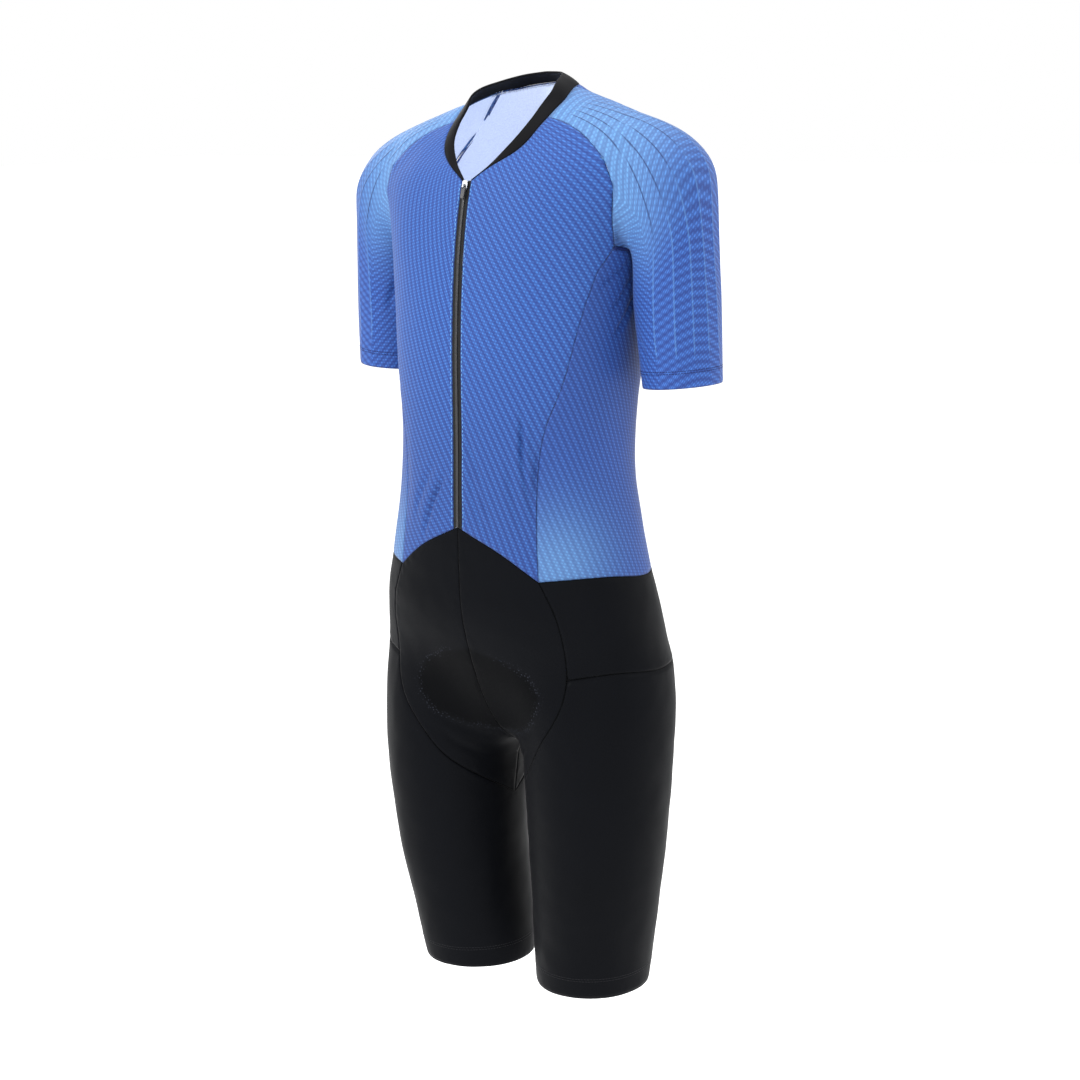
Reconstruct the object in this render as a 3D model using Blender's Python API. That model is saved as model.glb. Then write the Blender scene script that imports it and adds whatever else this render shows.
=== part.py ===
"""Short-sleeve aero suit, hollow and filled out as if worn, in metres with +Z up.

The origin is at the base of the neck, where the shoulders carry the suit. The front faces -Y
and the wearer's left is +X. A plain figure, given by short tables of sections, holds the form.
Seam curves are laid on it, and each cut piece of cloth is a wall between its seams.
"""

import math

import bpy
import numpy as np

# ---------------------------------------------------------------- driving sizes
CLOTH = 0.0015            # wall of the printed knit and of the lycra
HEM_CLOTH = 0.0024        # wall at a turned hem
BINDING_CLOTH = 0.0022    # wall of the folded neck binding
SEAM_GAP = 0.0003         # between neighbouring pieces
HEM_DEPTH = 0.012         # turned part of a sleeve hem
LEG_HEM_DEPTH = 0.025     # turned part of a leg hem
RIB_HEIGHT = 0.0009       # sleeve ribs stand this proud
RIB_FOOT = 0.0022         # half the width of a rib at its foot
ZIP_HALF_WIDTH = 0.0055   # centre of the zip to the edge of a front panel
CHAIN_HALF_WIDTH = 0.0016
CHAIN_CLOTH = 0.0024
TAPE_CLOTH = 0.0012
CROTCH_HEIGHT = -0.695
ARMPIT_HEIGHT = -0.150
UNDERARM_GAP = 0.0035     # between a sleeve and the side that it hangs against
GROOVE_PINCH = 1.6        # how far the walls stand back from the underarm seam, against their normals
LEG_HEM_HEIGHT = -0.973
SLEEVE_END = 0.208        # along the arm axis, from the shoulder joint to the cuff hem
BINDING_BULGE = 0.0012    # the folded binding stands this proud at mid width
SHOULDER_LEAN = 0.04      # the left shoulder is held higher by this share of the distance from the middle
SLEEVE_BULGE = 0.045      # first guess of a sleeve's grid, past the plane of its edges
TAPE_SINK = 0.0004        # zip tape below the front panels
CHAIN_PROUD = 0.0004      # zip chain above them
PAD_CLOTH = 0.006         # middle of the seat pad
PAD_RIM = 0.002           # edge of the seat pad
PAD_GAP = 0.0016          # lycra to seat pad
PAD_FRONT_TOP = -0.573
PAD_SEAT_TOP = -0.600
CHAIN_DROP = 0.0030       # the chain stops below the slider's post
SLIDER_HEIGHT = 0.0105
SLIDER_HALF_WIDTH = 0.0034
PLATE = 0.0011            # slider plates
PLATE_FRONT = 0.0009      # front panel to the back of the front plate
PLATE_BACK = -0.0025      # front panel to the face of the back plate
POST_HEIGHT = 0.0022
POST_HALF_WIDTH = 0.0012
SUNK = 0.0003             # blocks of the slider reach into each other
HINGE_DROP = -0.0064      # top of the slider down to the pull tab's axis
BRIDGE_HALF_LENGTH = 0.0019
BRIDGE_HALF_WIDTH = 0.0008
BRIDGE_BAR = 0.0008
BRIDGE_OPENING = 0.0021   # slider plate to the inside of the bridge
TAB = 0.0009              # pull tab's thickness
TAB_LENGTH = 0.0128       # axis to the foot of the tab
TAB_HALF_WIDTH = 0.0023
TAB_BAR = 0.0010          # bar that turns under the bridge
TAB_WINDOW = 0.0026
TAB_WINDOW_HALF_WIDTH = 0.0013

# ---------------------------------------------------------------- the figure's sections
TORSO_COLUMNS = ("height", "half_width", "middle", "front", "back", "squareness")
TORSO_SECTIONS = (
    (-0.720, 0.150, -0.004, -0.050, 0.086, 2.2),
    (-0.680, 0.164, -0.008, -0.064, 0.104, 2.2),
    (-0.634, 0.171, -0.014, -0.090, 0.118, 2.2),
    (-0.600, 0.171, -0.018, -0.106, 0.120, 2.3),
    (-0.560, 0.166, -0.020, -0.120, 0.113, 2.3),
    (-0.527, 0.161, -0.020, -0.127, 0.104, 2.3),
    (-0.480, 0.151, -0.020, -0.129, 0.094, 2.2),
    (-0.437, 0.143, -0.019, -0.129, 0.090, 2.2),
    (-0.400, 0.136, -0.018, -0.128, 0.088, 2.2),
    (-0.350, 0.132, -0.017, -0.126, 0.091, 2.2),
    (-0.300, 0.134, -0.014, -0.125, 0.099, 2.3),
    (-0.250, 0.138, -0.010, -0.124, 0.108, 2.3),
    (-0.200, 0.143, -0.006, -0.121, 0.114, 2.3),
    (-0.150, 0.149, -0.003, -0.116, 0.114, 2.3),
    (-0.100, 0.160, 0.000, -0.1070, 0.106, 2.2),
    (-0.072, 0.166, 0.002, -0.0985, 0.098, 2.1),
    (-0.060, 0.169, 0.003, -0.0935, 0.094, 2.1),
    (-0.045, 0.171, 0.004, -0.0770, 0.089, 2.0),
    (-0.030, 0.170, 0.006, -0.0640, 0.084, 2.0),
    (-0.021, 0.163, 0.008, -0.0550, 0.081, 2.0),
    (-0.015, 0.147, 0.010, -0.0470, 0.079, 2.0),
    (-0.005, 0.120, 0.014, -0.0350, 0.076, 2.0),
    (0.003, 0.098, 0.020, -0.0280, 0.073, 2.0),
    (0.010, 0.074, 0.026, -0.0180, 0.070, 2.0),
    (0.016, 0.054, 0.030, -0.0120, 0.069, 2.0),
    (0.022, 0.046, 0.033, -0.0080, 0.068, 2.0),
    (0.030, 0.043, 0.034, -0.0040, 0.066, 2.0),
    (0.060, 0.041, 0.034, 0.0, 0.064, 2.0),
)
LEG_COLUMNS = ("height", "across", "along", "half_width", "half_depth")
LEG_SECTIONS = (
    (-1.020, 0.0790, 0.000, 0.0620, 0.064),
    (-0.973, 0.0805, -0.002, 0.0640, 0.067),
    (-0.915, 0.0850, -0.005, 0.0680, 0.073),
    (-0.830, 0.0945, -0.011, 0.0740, 0.081),
    (-0.743, 0.0985, -0.012, 0.0790, 0.089),
    (-0.680, 0.0975, -0.010, 0.0800, 0.094),
    (-0.600, 0.0900, -0.006, 0.0800, 0.096),
)
SHOULDER = (0.180, 0.012, -0.081)
ARM_LINE_END = (0.196, 0.014, -0.330)
ARM_COLUMNS = ("along", "radius")
ARM_SECTIONS = ((0.0, 0.0485), (0.06, 0.0470), (0.12, 0.0455), (0.18, 0.0430), (0.26, 0.0410))
ARM_DEPTH_SHARE = 1.06    # an arm is this much deeper than it is wide
CUFF_TILT = 0.08          # a cuff rises outwards by this share
# Sleeve columns: degrees round the arm from its outer side, and where each starts on the neck edge,
# as a share of the way from the middle of that edge to its end.
SLEEVE_COLUMN_NAMES = ("angle", "neck_share")
SLEEVE_COLUMNS = ((0, 0.0), (12, 0.09), (24, 0.18), (36, 0.28), (48, 0.38), (60, 0.48), (72, 0.58), (84, 0.68),
                  (96, 0.77), (117, 0.84), (138, 0.90), (159, 0.95), (180, 1.0))
RIB_ANGLES = (12, 36, 60, 84)
SECTION_ROUNDING = 0.010  # a section table is rounded over this height

# Soft folds pressed into the cloth: x, y, z of both ends, half width and depth.
FOLD_COLUMNS = ("start", "end", "half_width", "depth")
FOLDS = (
    ((0.086, -0.10, -0.360), (0.088, -0.11, -0.450), 0.010, 0.0030),
    ((0.110, -0.09, -0.395), (0.102, -0.10, -0.455), 0.009, 0.0022),
    ((-0.030, -0.12, -0.395), (-0.062, -0.11, -0.452), 0.010, 0.0026),
    ((0.030, -0.06, -0.655), (0.070, -0.07, -0.690), 0.012, 0.0030),
    ((-0.030, -0.06, -0.655), (-0.070, -0.07, -0.690), 0.012, 0.0030),
    ((0.050, 0.10, -0.400), (0.110, 0.07, -0.380), 0.012, 0.0030),
    ((-0.050, 0.10, -0.410), (-0.110, 0.07, -0.395), 0.012, 0.0030),
    ((0.040, 0.10, -0.690), (0.090, 0.08, -0.700), 0.012, 0.0030),
    ((-0.040, 0.10, -0.690), (-0.090, 0.08, -0.700), 0.012, 0.0030),
)

# ---------------------------------------------------------------- seam points on the left side
ZIP_TOP = (ZIP_HALF_WIDTH, -0.0985, -0.0735)
ZIP_BOTTOM = (ZIP_HALF_WIDTH, -0.129, -0.4395)
RAGLAN_FRONT_TOP = (0.062, -0.0375, -0.0115)
RAGLAN_BACK_TOP = (0.049, 0.030, 0.016)
BACK_NECK = (0.0, 0.0665, 0.0255)
ARMPIT_FRONT = (0.147, -0.040, -0.143)
ARMPIT_BACK = (0.1440, 0.0435, -0.1420)
WAIST_PEAK = (0.0, -0.129, -0.437)
WAIST_FRONT = (0.091, -0.108, -0.490)
WAIST_BACK = (0.088, 0.085, -0.500)
WAIST_CENTRE_BACK = (0.0, 0.098, -0.502)
CROTCH = (0.0, 0.004, -0.698)
INNER_LEG = (0.021, -0.010, -0.768)
HIP_FRONT = (0.1180, -0.100, -0.597)
HIP_BACK = (0.112, 0.088, -0.604)

SEAM_POINTS = {
    "zip_edge": (ZIP_BOTTOM, (0.0055, -0.124, -0.30), (0.0055, -0.120, -0.18), ZIP_TOP),
    "neck_front": (ZIP_TOP, (0.014, -0.0955, -0.067), (0.026, -0.090, -0.060), (0.048, -0.073, -0.045),
                   (0.057, -0.060, -0.030), RAGLAN_FRONT_TOP),
    "neck_side": (RAGLAN_FRONT_TOP, (0.065, -0.016, 0.003), (0.061, 0.001, 0.010), RAGLAN_BACK_TOP),
    "neck_back": (RAGLAN_BACK_TOP, (0.036, 0.054, 0.022), BACK_NECK),
    "raglan_front": (RAGLAN_FRONT_TOP, (0.097, -0.0415, -0.023), (0.132, -0.049, -0.048),
                     (0.150, -0.050, -0.075), (0.149, -0.049, -0.105), ARMPIT_FRONT),
    "raglan_back": (RAGLAN_BACK_TOP, (0.096, 0.056, -0.020), (0.135, 0.060, -0.050),
                    (0.152, 0.062, -0.085), (0.149, 0.057, -0.112), ARMPIT_BACK),
    "underarm": (ARMPIT_FRONT, (0.1493, -0.026, -0.1450), (0.1500, -0.015, -0.1475), (0.1502, 0.004, -0.1482),
                 (0.1480, 0.024, -0.1478), (0.1458, 0.035, -0.1462), ARMPIT_BACK),
    "side_front": (ARMPIT_FRONT, (0.140, -0.060, -0.168), (0.124, -0.077, -0.229),
                   (0.113, -0.088, -0.284), (0.096, -0.098, -0.322), (0.088, -0.102, -0.368),
                   (0.087, -0.105, -0.430), WAIST_FRONT),
    "side_back": (ARMPIT_BACK, (0.130, 0.070, -0.210), (0.110, 0.085, -0.310),
                  (0.092, 0.085, -0.420), WAIST_BACK),
    "waist_front": (ZIP_BOTTOM, (0.050, -0.120, -0.461), WAIST_FRONT),
    "waist_side": (WAIST_FRONT, (0.150, -0.055, -0.487), (0.158, 0.010, -0.496), WAIST_BACK),
    "waist_back": (WAIST_BACK, (0.045, 0.095, -0.502), WAIST_CENTRE_BACK),
    "centre_front": (WAIST_PEAK, (0.0, -0.127, -0.53), (0.0, -0.105, -0.60), (0.0, -0.060, -0.680), CROTCH),
    "centre_back": (WAIST_CENTRE_BACK, (0.0, 0.116, -0.58), (0.0, 0.105, -0.66), (0.0, 0.05, -0.695), CROTCH),
    "inseam": (CROTCH, (0.010, -0.002, -0.730), INNER_LEG),
    "front_outer": (WAIST_FRONT, (0.1150, -0.110, -0.535), HIP_FRONT, (0.1105, -0.105, -0.633),
                    (0.087, -0.103, -0.667), (0.060, -0.090, -0.709), (0.036, -0.062, -0.735), INNER_LEG),
    "back_outer": (WAIST_BACK, (0.104, 0.095, -0.55), HIP_BACK, (0.107, 0.088, -0.645),
                   (0.084, 0.085, -0.688), (0.042, 0.052, -0.735), INNER_LEG),
    "hip": (HIP_FRONT, (0.159, -0.060, -0.591), (0.172, 0.005, -0.599), HIP_BACK),
}

# The free edge of the neck binding, beside each length of the neck seam.
BINDING_EDGES = {
    "neck_front": ((0.0055, -0.0970, -0.0718), (0.019, -0.087, -0.060), (0.032, -0.078, -0.045),
                   (0.042, -0.066, -0.030), (0.048, -0.047, -0.012)),
    "neck_side": ((0.048, -0.047, -0.012), (0.050, -0.030, 0.003), (0.0535, -0.018, 0.015),
                  (0.0485, -0.003, 0.0235), (0.037, 0.022, 0.0305)),
    "neck_back": ((0.037, 0.022, 0.0305), (0.025, 0.041, 0.035), (0.0, 0.048, 0.037)),
}

PAD_SHAPE_COLUMNS = ("share_from_front", "half_width")
PAD_HALF_WIDTHS = ((0.0, 0.046), (0.09, 0.070), (0.18, 0.082), (0.27, 0.075), (0.37, 0.057), (0.52, 0.042),
                   (0.65, 0.055), (0.80, 0.084), (0.93, 0.084), (1.0, 0.060))

# ---------------------------------------------------------------- how finely each piece is cut up
FRONT_COLUMNS = 8         # across a front panel
SHORTS_COLUMNS = 9        # the same and half the zip
BODY_ROWS = 17            # waist to neck
SIDE_ROWS = 11            # of those, waist to armpit
RAGLAN_ROWS = BODY_ROWS - SIDE_ROWS
SIDE_COLUMNS = 8          # across a side panel and a hip panel
CUFF_ROWS = 7             # seam under the arm, armpit to cuff
SLEEVE_ROUNDS = 60        # of settling
SLEEVE_DOWN = 0.18        # pull of the rows above and below while a sleeve settles
SHORTS_ROWS = 15          # waist to inseam
HIP_ROWS = 6              # of those, waist to hip seam
LEG_ROWS = 8
RELAX_ROUNDS = 30         # the same for the other pieces
BINDING_ROWS = 4
PAD_COLUMNS = 6           # centre seam to the side of the pad

MATERIALS = {             # colour, roughness, metallic
    "printed_knit": ((0.045, 0.115, 0.50, 1.0), 0.62, 0.0),
    "sleeve_knit": ((0.10, 0.22, 0.58, 1.0), 0.60, 0.0),
    "side_knit": ((0.055, 0.135, 0.52, 1.0), 0.62, 0.0),
    "black_lycra": ((0.008, 0.008, 0.010, 1.0), 0.50, 0.0),
    "black_binding": ((0.012, 0.012, 0.014, 1.0), 0.55, 0.0),
    "black_tape": ((0.010, 0.010, 0.012, 1.0), 0.70, 0.0),
    "black_plastic": ((0.015, 0.015, 0.017, 1.0), 0.35, 0.0),
    "pad_foam": ((0.020, 0.020, 0.024, 1.0), 0.80, 0.0),
    "slider_metal": ((0.55, 0.56, 0.58, 1.0), 0.28, 1.0),
}


def clear_scene():
    for thing in list(bpy.data.objects):
        bpy.data.objects.remove(thing, do_unlink=True)


# ---------------------------------------------------------------- fields of the figure
def rounded_column(rows, columns, name):
    """A function of the first column that gives the named one, with its corners rounded."""
    table = np.array(sorted(rows))
    step = 0.001
    grid = np.arange(table[0, 0], table[-1, 0] + step, step)
    values = np.interp(grid, table[:, 0], table[:, columns.index(name)])
    reach = round(SECTION_ROUNDING / step)
    window = np.hanning(2 * reach + 1)
    start = 2 * values[0] - values[reach:0:-1]
    end = 2 * values[-1] - values[-2:-reach - 2:-1]
    values = np.convolve(np.concatenate([start, values, end]), window / window.sum(), "valid")
    return lambda at: np.interp(at, grid, values)


TORSO = {name: rounded_column(TORSO_SECTIONS, TORSO_COLUMNS, name) for name in TORSO_COLUMNS[1:]}
LEG = {name: rounded_column(LEG_SECTIONS, LEG_COLUMNS, name) for name in LEG_COLUMNS[1:]}


def smooth_least(a, b, reach):
    """The lesser of two distances, blended where they are nearly equal."""
    share = np.clip(0.5 + 0.5 * (b - a) / reach, 0.0, 1.0)
    return b + (a - b) * share - reach * share * (1.0 - share)


def smooth_most(a, b, reach):
    return -smooth_least(-a, -b, reach)


def ramp(value, start, end):
    share = np.clip((value - start) / (end - start), 0.0, 1.0)
    return share * share * (3.0 - 2.0 * share)


def gradient(field, points, step=0.0004):
    slopes = []
    for axis in range(3):
        shift = np.zeros(3)
        shift[axis] = step
        slopes.append((field(points + shift) - field(points - shift)) / (2.0 * step))
    return np.stack(slopes, axis=-1)


def torso_reach(points):
    """How far a point is past the torso's section at its height, measured from the section's middle."""
    x, y, z = np.abs(points[..., 0]), points[..., 1], points[..., 2]
    middle = TORSO["middle"](z)
    depth = np.where(y < middle, middle - TORSO["front"](z), TORSO["back"](z) - middle)
    power = TORSO["squareness"](z)
    ratio = ((x / TORSO["half_width"](z)) ** power + (np.abs(y - middle) / depth) ** power) ** (1.0 / power)
    return np.hypot(x, y - middle) * (1.0 - 1.0 / np.maximum(ratio, 1e-6))


def torso(points):
    slope = np.linalg.norm(gradient(torso_reach, points), axis=-1)
    return torso_reach(points) / np.maximum(slope, 0.6)


def arm(points):
    points = points * np.where(points[..., :1] < 0, (-1.0, 1.0, 1.0), (1.0, 1.0, 1.0))
    start = np.array(SHOULDER)
    line = np.array(ARM_LINE_END) - start
    length = np.linalg.norm(line)
    along = np.clip((points - start) @ line / length ** 2, 0.0, 1.0)
    off = points - start - along[..., None] * line
    off[..., 1] /= ARM_DEPTH_SHARE
    radius = np.interp(along * length, *np.array(ARM_SECTIONS).T)
    return np.linalg.norm(off, axis=-1) - radius


def leg(points):
    x, y, z = np.abs(points[..., 0]), points[..., 1], points[..., 2]
    across, along = x - LEG["across"](z), y - LEG["along"](z)
    ratio = np.hypot(across / LEG["half_width"](z), along / LEG["half_depth"](z))
    return np.hypot(across, along) * (1.0 - 1.0 / np.maximum(ratio, 1e-6))


def folds(points):
    """How far the folds press the cloth in at each point."""
    depth = np.zeros(points.shape[:-1])
    for start, end, half_width, deep in FOLDS:
        line = np.subtract(end, start)
        along = np.clip((points - start) @ line / (line @ line), -0.3, 1.3)
        off = np.linalg.norm(points - start - along[..., None] * line, axis=-1)
        fade = ramp(along, -0.3, 0.3) * ramp(along, 1.3, 0.7)
        depth = depth + deep * fade * np.exp(-(off / half_width) ** 2)
    return depth


def upper(points, wanted):
    """The torso with its arms. Below the armpit only the wanted one of the two counts."""
    carved = ramp(points[..., 2], ARMPIT_HEIGHT + 0.035, ARMPIT_HEIGHT)
    apart = 0.2 * ramp(points[..., 2], ARMPIT_HEIGHT - 0.015, ARMPIT_HEIGHT - 0.035)
    body, limb = torso(points), arm(points)
    limb = smooth_most(limb, UNDERARM_GAP * carved - 0.06 * (1.0 - carved) - body, 0.004)
    if wanted == "body":
        limb = limb + apart
    else:
        body = body + apart
    return smooth_least(body, limb, 0.005 + 0.028 * ramp(points[..., 2], ARMPIT_HEIGHT, -0.09))


def lower(points):
    """The pelvis with its legs."""
    z = points[..., 2]
    pelvis = smooth_most(torso(points), CROTCH_HEIGHT - 0.004 - z, 0.05)
    limb = smooth_most(leg(points), z + 0.60, 0.05)
    return smooth_least(pelvis, limb, 0.030)


def body_field(points):
    return np.where(points[..., 2] > -0.45, upper(points, "body"), lower(points)) + folds(points)


def sleeve_field(points):
    return upper(points, "sleeve") + folds(points)


def drape(points, field, rounds=10):
    """Moves points on to the surface of a field."""
    points = np.array(points, float)
    for _ in range(rounds):
        slope = gradient(field, points)
        size = np.maximum((slope ** 2).sum(-1), 0.05)
        step = np.clip(field(points) / size, -0.02, 0.02)
        points = points - step[..., None] * slope
    return points


def normals(points, field):
    slope = gradient(field, points, 0.0015)
    return slope / np.linalg.norm(slope, axis=-1, keepdims=True)


def leaned(points):
    """The shoulders and neck tip to the right, more so the further they are from the middle."""
    points = np.array(points, float)
    points[..., 2] += SHOULDER_LEAN * points[..., 0] * ramp(points[..., 2], -0.16, -0.05)
    return points


# ---------------------------------------------------------------- seams
def even_samples(line, steps, start=0.0, end=1.0):
    """Evenly spaced points along a dense line, between two shares of its length."""
    return at_shares(line, np.linspace(start, end, steps + 1))


def at_shares(line, shares):
    """Points on a dense line at the given shares of its length."""
    lengths = np.concatenate([[0.0], np.cumsum(np.linalg.norm(np.diff(line, axis=0), axis=1))])
    at = np.asarray(shares) * lengths[-1]
    return np.stack([np.interp(at, lengths, line[:, axis]) for axis in range(3)], axis=1)


def smooth_line(points, steps=24):
    """A dense curve through the points, each span a cubic."""
    points = np.array(points, float)
    ends = [2 * points[0] - points[1], *points, 2 * points[-1] - points[-2]]
    out = [points[0]]
    for before, here, there, after in zip(ends, ends[1:], ends[2:], ends[3:]):
        for t in np.linspace(0.0, 1.0, steps + 1)[1:]:
            bend = (2 * before - 5 * here + 4 * there - after) * t ** 2
            twist = (3 * here - 3 * there + after - before) * t ** 3
            out.append(here + 0.5 * ((there - before) * t + bend + twist))
    return np.array(out)


def seam(name, steps, field=body_field, start=0.0, end=1.0):
    """The seam's shared points on the figure. Both of its pieces use the same ones."""
    line = drape(smooth_line(SEAM_POINTS[name]), field)
    return drape(even_samples(line, steps, start, end), field)


def split_seam(name, corner, first_steps, second_steps):
    """A seam with a corner of another piece on it: points up to the corner, and after it."""
    line = drape(smooth_line(SEAM_POINTS[name]), body_field)
    at = np.linalg.norm(line - drape(np.array([corner]), body_field), axis=1).argmin()
    first = even_samples(line[:at + 1], first_steps)
    second = even_samples(line[at:], second_steps)
    return drape(np.concatenate([first, second[1:]]), body_field)


# ---------------------------------------------------------------- panels
def filled(left, right, bottom, top):
    """A grid between four edges: rows run from bottom to top, columns from left to right."""
    rows, columns = len(left), len(bottom)
    u = np.linspace(0.0, 1.0, columns)[None, :, None]
    v = np.linspace(0.0, 1.0, rows)[:, None, None]
    sides = (1 - u) * left[:, None] + u * right[:, None]
    ends = (1 - v) * bottom[None] + v * top[None]
    corners = ((1 - u) * (1 - v) * bottom[0] + u * (1 - v) * bottom[-1]
               + (1 - u) * v * top[0] + u * v * top[-1])
    return sides + ends - corners


def settled(grid, field, closed=False, rounds=RELAX_ROUNDS, down=0.5):
    """Drapes a grid with its edges held, and evens out its spacing."""
    inner = slice(None) if closed else slice(1, -1)
    grid = grid.copy()
    grid[1:-1, inner] = drape(grid[1:-1, inner], field)
    for _ in range(rounds):
        left, right = np.roll(grid, 1, axis=1), np.roll(grid, -1, axis=1)
        mean = 0.5 * (1.0 - down) * (left + right)[1:-1] + 0.5 * down * (grid[:-2] + grid[2:])
        grid[1:-1, inner] = (0.5 * grid[1:-1] + 0.5 * mean)[:, inner]
        grid[1:-1, inner] = drape(grid[1:-1, inner], field, 2)
    grid[1:-1, inner] = drape(grid[1:-1, inner], field)
    return grid


def inset(grid, edges, direction):
    """Draws the named edges back from their seams by half the gap, along the cloth."""
    out = grid.copy()
    for edge in edges:
        end, across = EDGE_PLACES[edge]
        moved = np.swapaxes(out, 0, 1) if across else out
        moved[end] += 0.5 * SEAM_GAP * away_from(grid, edge, direction)
    return out


def away_from(grid, edge, direction):
    """Directions into a piece from one of its edges."""
    end, across = EDGE_PLACES[edge]
    lines = np.swapaxes(grid, 0, 1) if across else grid
    facing = (np.swapaxes(direction, 0, 1) if across else direction)[end]
    rim, next_row = lines[end], lines[1 if end == 0 else -2]
    along = np.gradient(rim, axis=0)
    side = np.cross(along, facing)
    side /= np.linalg.norm(side, axis=1, keepdims=True)
    return side * np.sign((side * (next_row - rim)).sum())


def pinched(direction, grid, edge, amount):
    """Turns the normals at an edge so that the wall stands back from a seam at the bottom of a groove."""
    end, across = EDGE_PLACES[edge]
    out = direction.copy()
    rim = (np.swapaxes(out, 0, 1) if across else out)
    rim[end] -= amount[:, None] * away_from(grid, edge, direction)
    rim[end] /= np.linalg.norm(rim[end], axis=1, keepdims=True)
    return out


def make_material(name):
    material = bpy.data.materials.get(name)
    if material is None:
        colour, roughness, metallic = MATERIALS[name]
        material = bpy.data.materials.new(name)
        material.use_nodes = True
        shader = material.node_tree.nodes["Principled BSDF"]
        shader.inputs["Base Color"].default_value = colour
        shader.inputs["Roughness"].default_value = roughness
        shader.inputs["Metallic"].default_value = metallic
    return material


def add_object(name, mesh, material, collection, parent=None):
    thing = bpy.data.objects.new(name, mesh)
    mesh.materials.append(make_material(material))
    mesh.shade_smooth()
    mesh.set_sharp_from_angle(angle=math.radians(50))
    collection.objects.link(thing)
    if parent is not None:
        thing.parent = parent
    return thing


def wall(name, outside, inside, material, collection, closed=False):
    """A closed wall between two grids of points, with a rim round its open edges."""
    rows, columns = outside.shape[:2]
    count = rows * columns
    spans = columns if closed else columns - 1
    points = np.concatenate([outside.reshape(-1, 3), inside.reshape(-1, 3)])
    faces = []

    def corner(row, column, layer=0):
        return layer * count + row * columns + column % columns

    def add_rim(*ring):
        a, b, c, d = ring
        if np.linalg.norm(points[b] - points[d]) < np.linalg.norm(points[a] - points[c]):
            a, b, c, d = b, c, d, a
        faces.extend([[a, b, c], [a, c, d]])

    for row in range(rows - 1):
        for column in range(spans):
            ring = [(row, column), (row, column + 1), (row + 1, column + 1), (row + 1, column)]
            ends = [outside[at[0], at[1] % columns] for at in ring]
            if np.linalg.norm(ends[1] - ends[3]) < np.linalg.norm(ends[0] - ends[2]):
                ring = ring[1:] + ring[:1]
            for half in (ring[:3], [ring[0], ring[2], ring[3]]):
                faces.append([corner(*at) for at in half])
                faces.append([corner(*at, 1) for at in reversed(half)])
    for column in range(spans):
        add_rim(corner(0, column), corner(0, column, 1), corner(0, column + 1, 1), corner(0, column + 1))
        add_rim(corner(rows - 1, column), corner(rows - 1, column + 1),
                corner(rows - 1, column + 1, 1), corner(rows - 1, column, 1))
    if not closed:
        for row in range(rows - 1):
            add_rim(corner(row, 0), corner(row + 1, 0), corner(row + 1, 0, 1), corner(row, 0, 1))
            add_rim(corner(row, spans), corner(row, spans, 1), corner(row + 1, spans, 1), corner(row + 1, spans))
    across = outside[:-1, 1:] - outside[:-1, :-1]
    up = outside[1:, :-1] - outside[:-1, :-1]
    if (np.cross(across, up) * (outside - inside)[:-1, :-1]).sum() < 0:
        faces = [face[::-1] for face in faces]
    mesh = bpy.data.meshes.new(name)
    mesh.from_pydata(leaned(points).tolist(), [], faces)
    return add_object(name, mesh, material, collection)


EDGE_PLACES = {"bottom": (0, False), "top": (-1, False), "left": (0, True), "right": (-1, True)}


def mirrored(grid):
    return grid * (-1.0, 1.0, 1.0)


def cloth_pair(name, grid, field, edges, material, collection, closed=False, thickness=CLOTH, proud=0.0):
    """The left piece and its mirror. Thickness and proud may vary over the grid."""
    direction = normals(grid, field)
    wall_pair(name, inset(grid, edges, direction), direction, material, collection, closed, thickness, proud)


def wall_pair(name, surface, direction, material, collection, closed=False, thickness=CLOTH, proud=0.0):
    outside = surface + np.asarray(proud)[..., None] * direction
    inside = surface - np.asarray(thickness)[..., None] * direction
    wall(name + "_left", outside, inside, material, collection, closed)
    wall(name + "_right", mirrored(outside), mirrored(inside), material, collection, closed)


def upper_body(seams, collection):
    front = filled(seams["zip_edge"], np.concatenate([seams["side_front"][::-1], seams["raglan_front"][-2::-1]]),
                   seams["waist_front"][1:], seams["neck_front"])
    cloth_pair("front", settled(front, body_field), body_field, ("left", "right", "bottom", "top"),
               "printed_knit", collection)
    side = filled(seams["side_front"][::-1], seams["side_back"][::-1], seams["waist_side"], seams["underarm"])
    side = settled(side, body_field)
    direction = normals(side, body_field)
    direction[-1] = underarm_facing(seams["underarm"])
    surface = inset(side, ("left", "right", "bottom", "top"), direction)
    direction = pinched(direction, side, "top", groove(SIDE_COLUMNS + 1))
    wall_pair("side", surface, direction, "side_knit", collection)
    edge = np.concatenate([seams["side_back"][::-1], seams["raglan_back"][-2::-1]])
    bottom = np.concatenate([seams["waist_back"], mirrored(seams["waist_back"])[-2::-1]])
    top = np.concatenate([seams["neck_back"], mirrored(seams["neck_back"])[-2::-1]])
    grid = settled(filled(edge, mirrored(edge), bottom, top), body_field)
    direction = normals(grid, body_field)
    surface = inset(grid, ("left", "right", "bottom", "top"), direction)
    wall("back", surface, surface - CLOTH * direction, "printed_knit", collection)


def groove(count):
    """How much each point of the underarm seam is pinched, from none at its ends."""
    return GROOVE_PINCH * np.sin(np.linspace(0.0, math.pi, count)) ** 0.5


def cuff_points(angles, along):
    start = np.array(SHOULDER)
    line = np.array(ARM_LINE_END) - start
    line /= np.linalg.norm(line)
    radius = np.interp(along, *np.array(ARM_SECTIONS).T)
    ring = np.stack([np.cos(angles), -ARM_DEPTH_SHARE * np.sin(angles), CUFF_TILT * np.cos(angles)], axis=-1)
    return start + np.asarray(along)[..., None] * line + np.asarray(radius)[..., None] * ring


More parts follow.
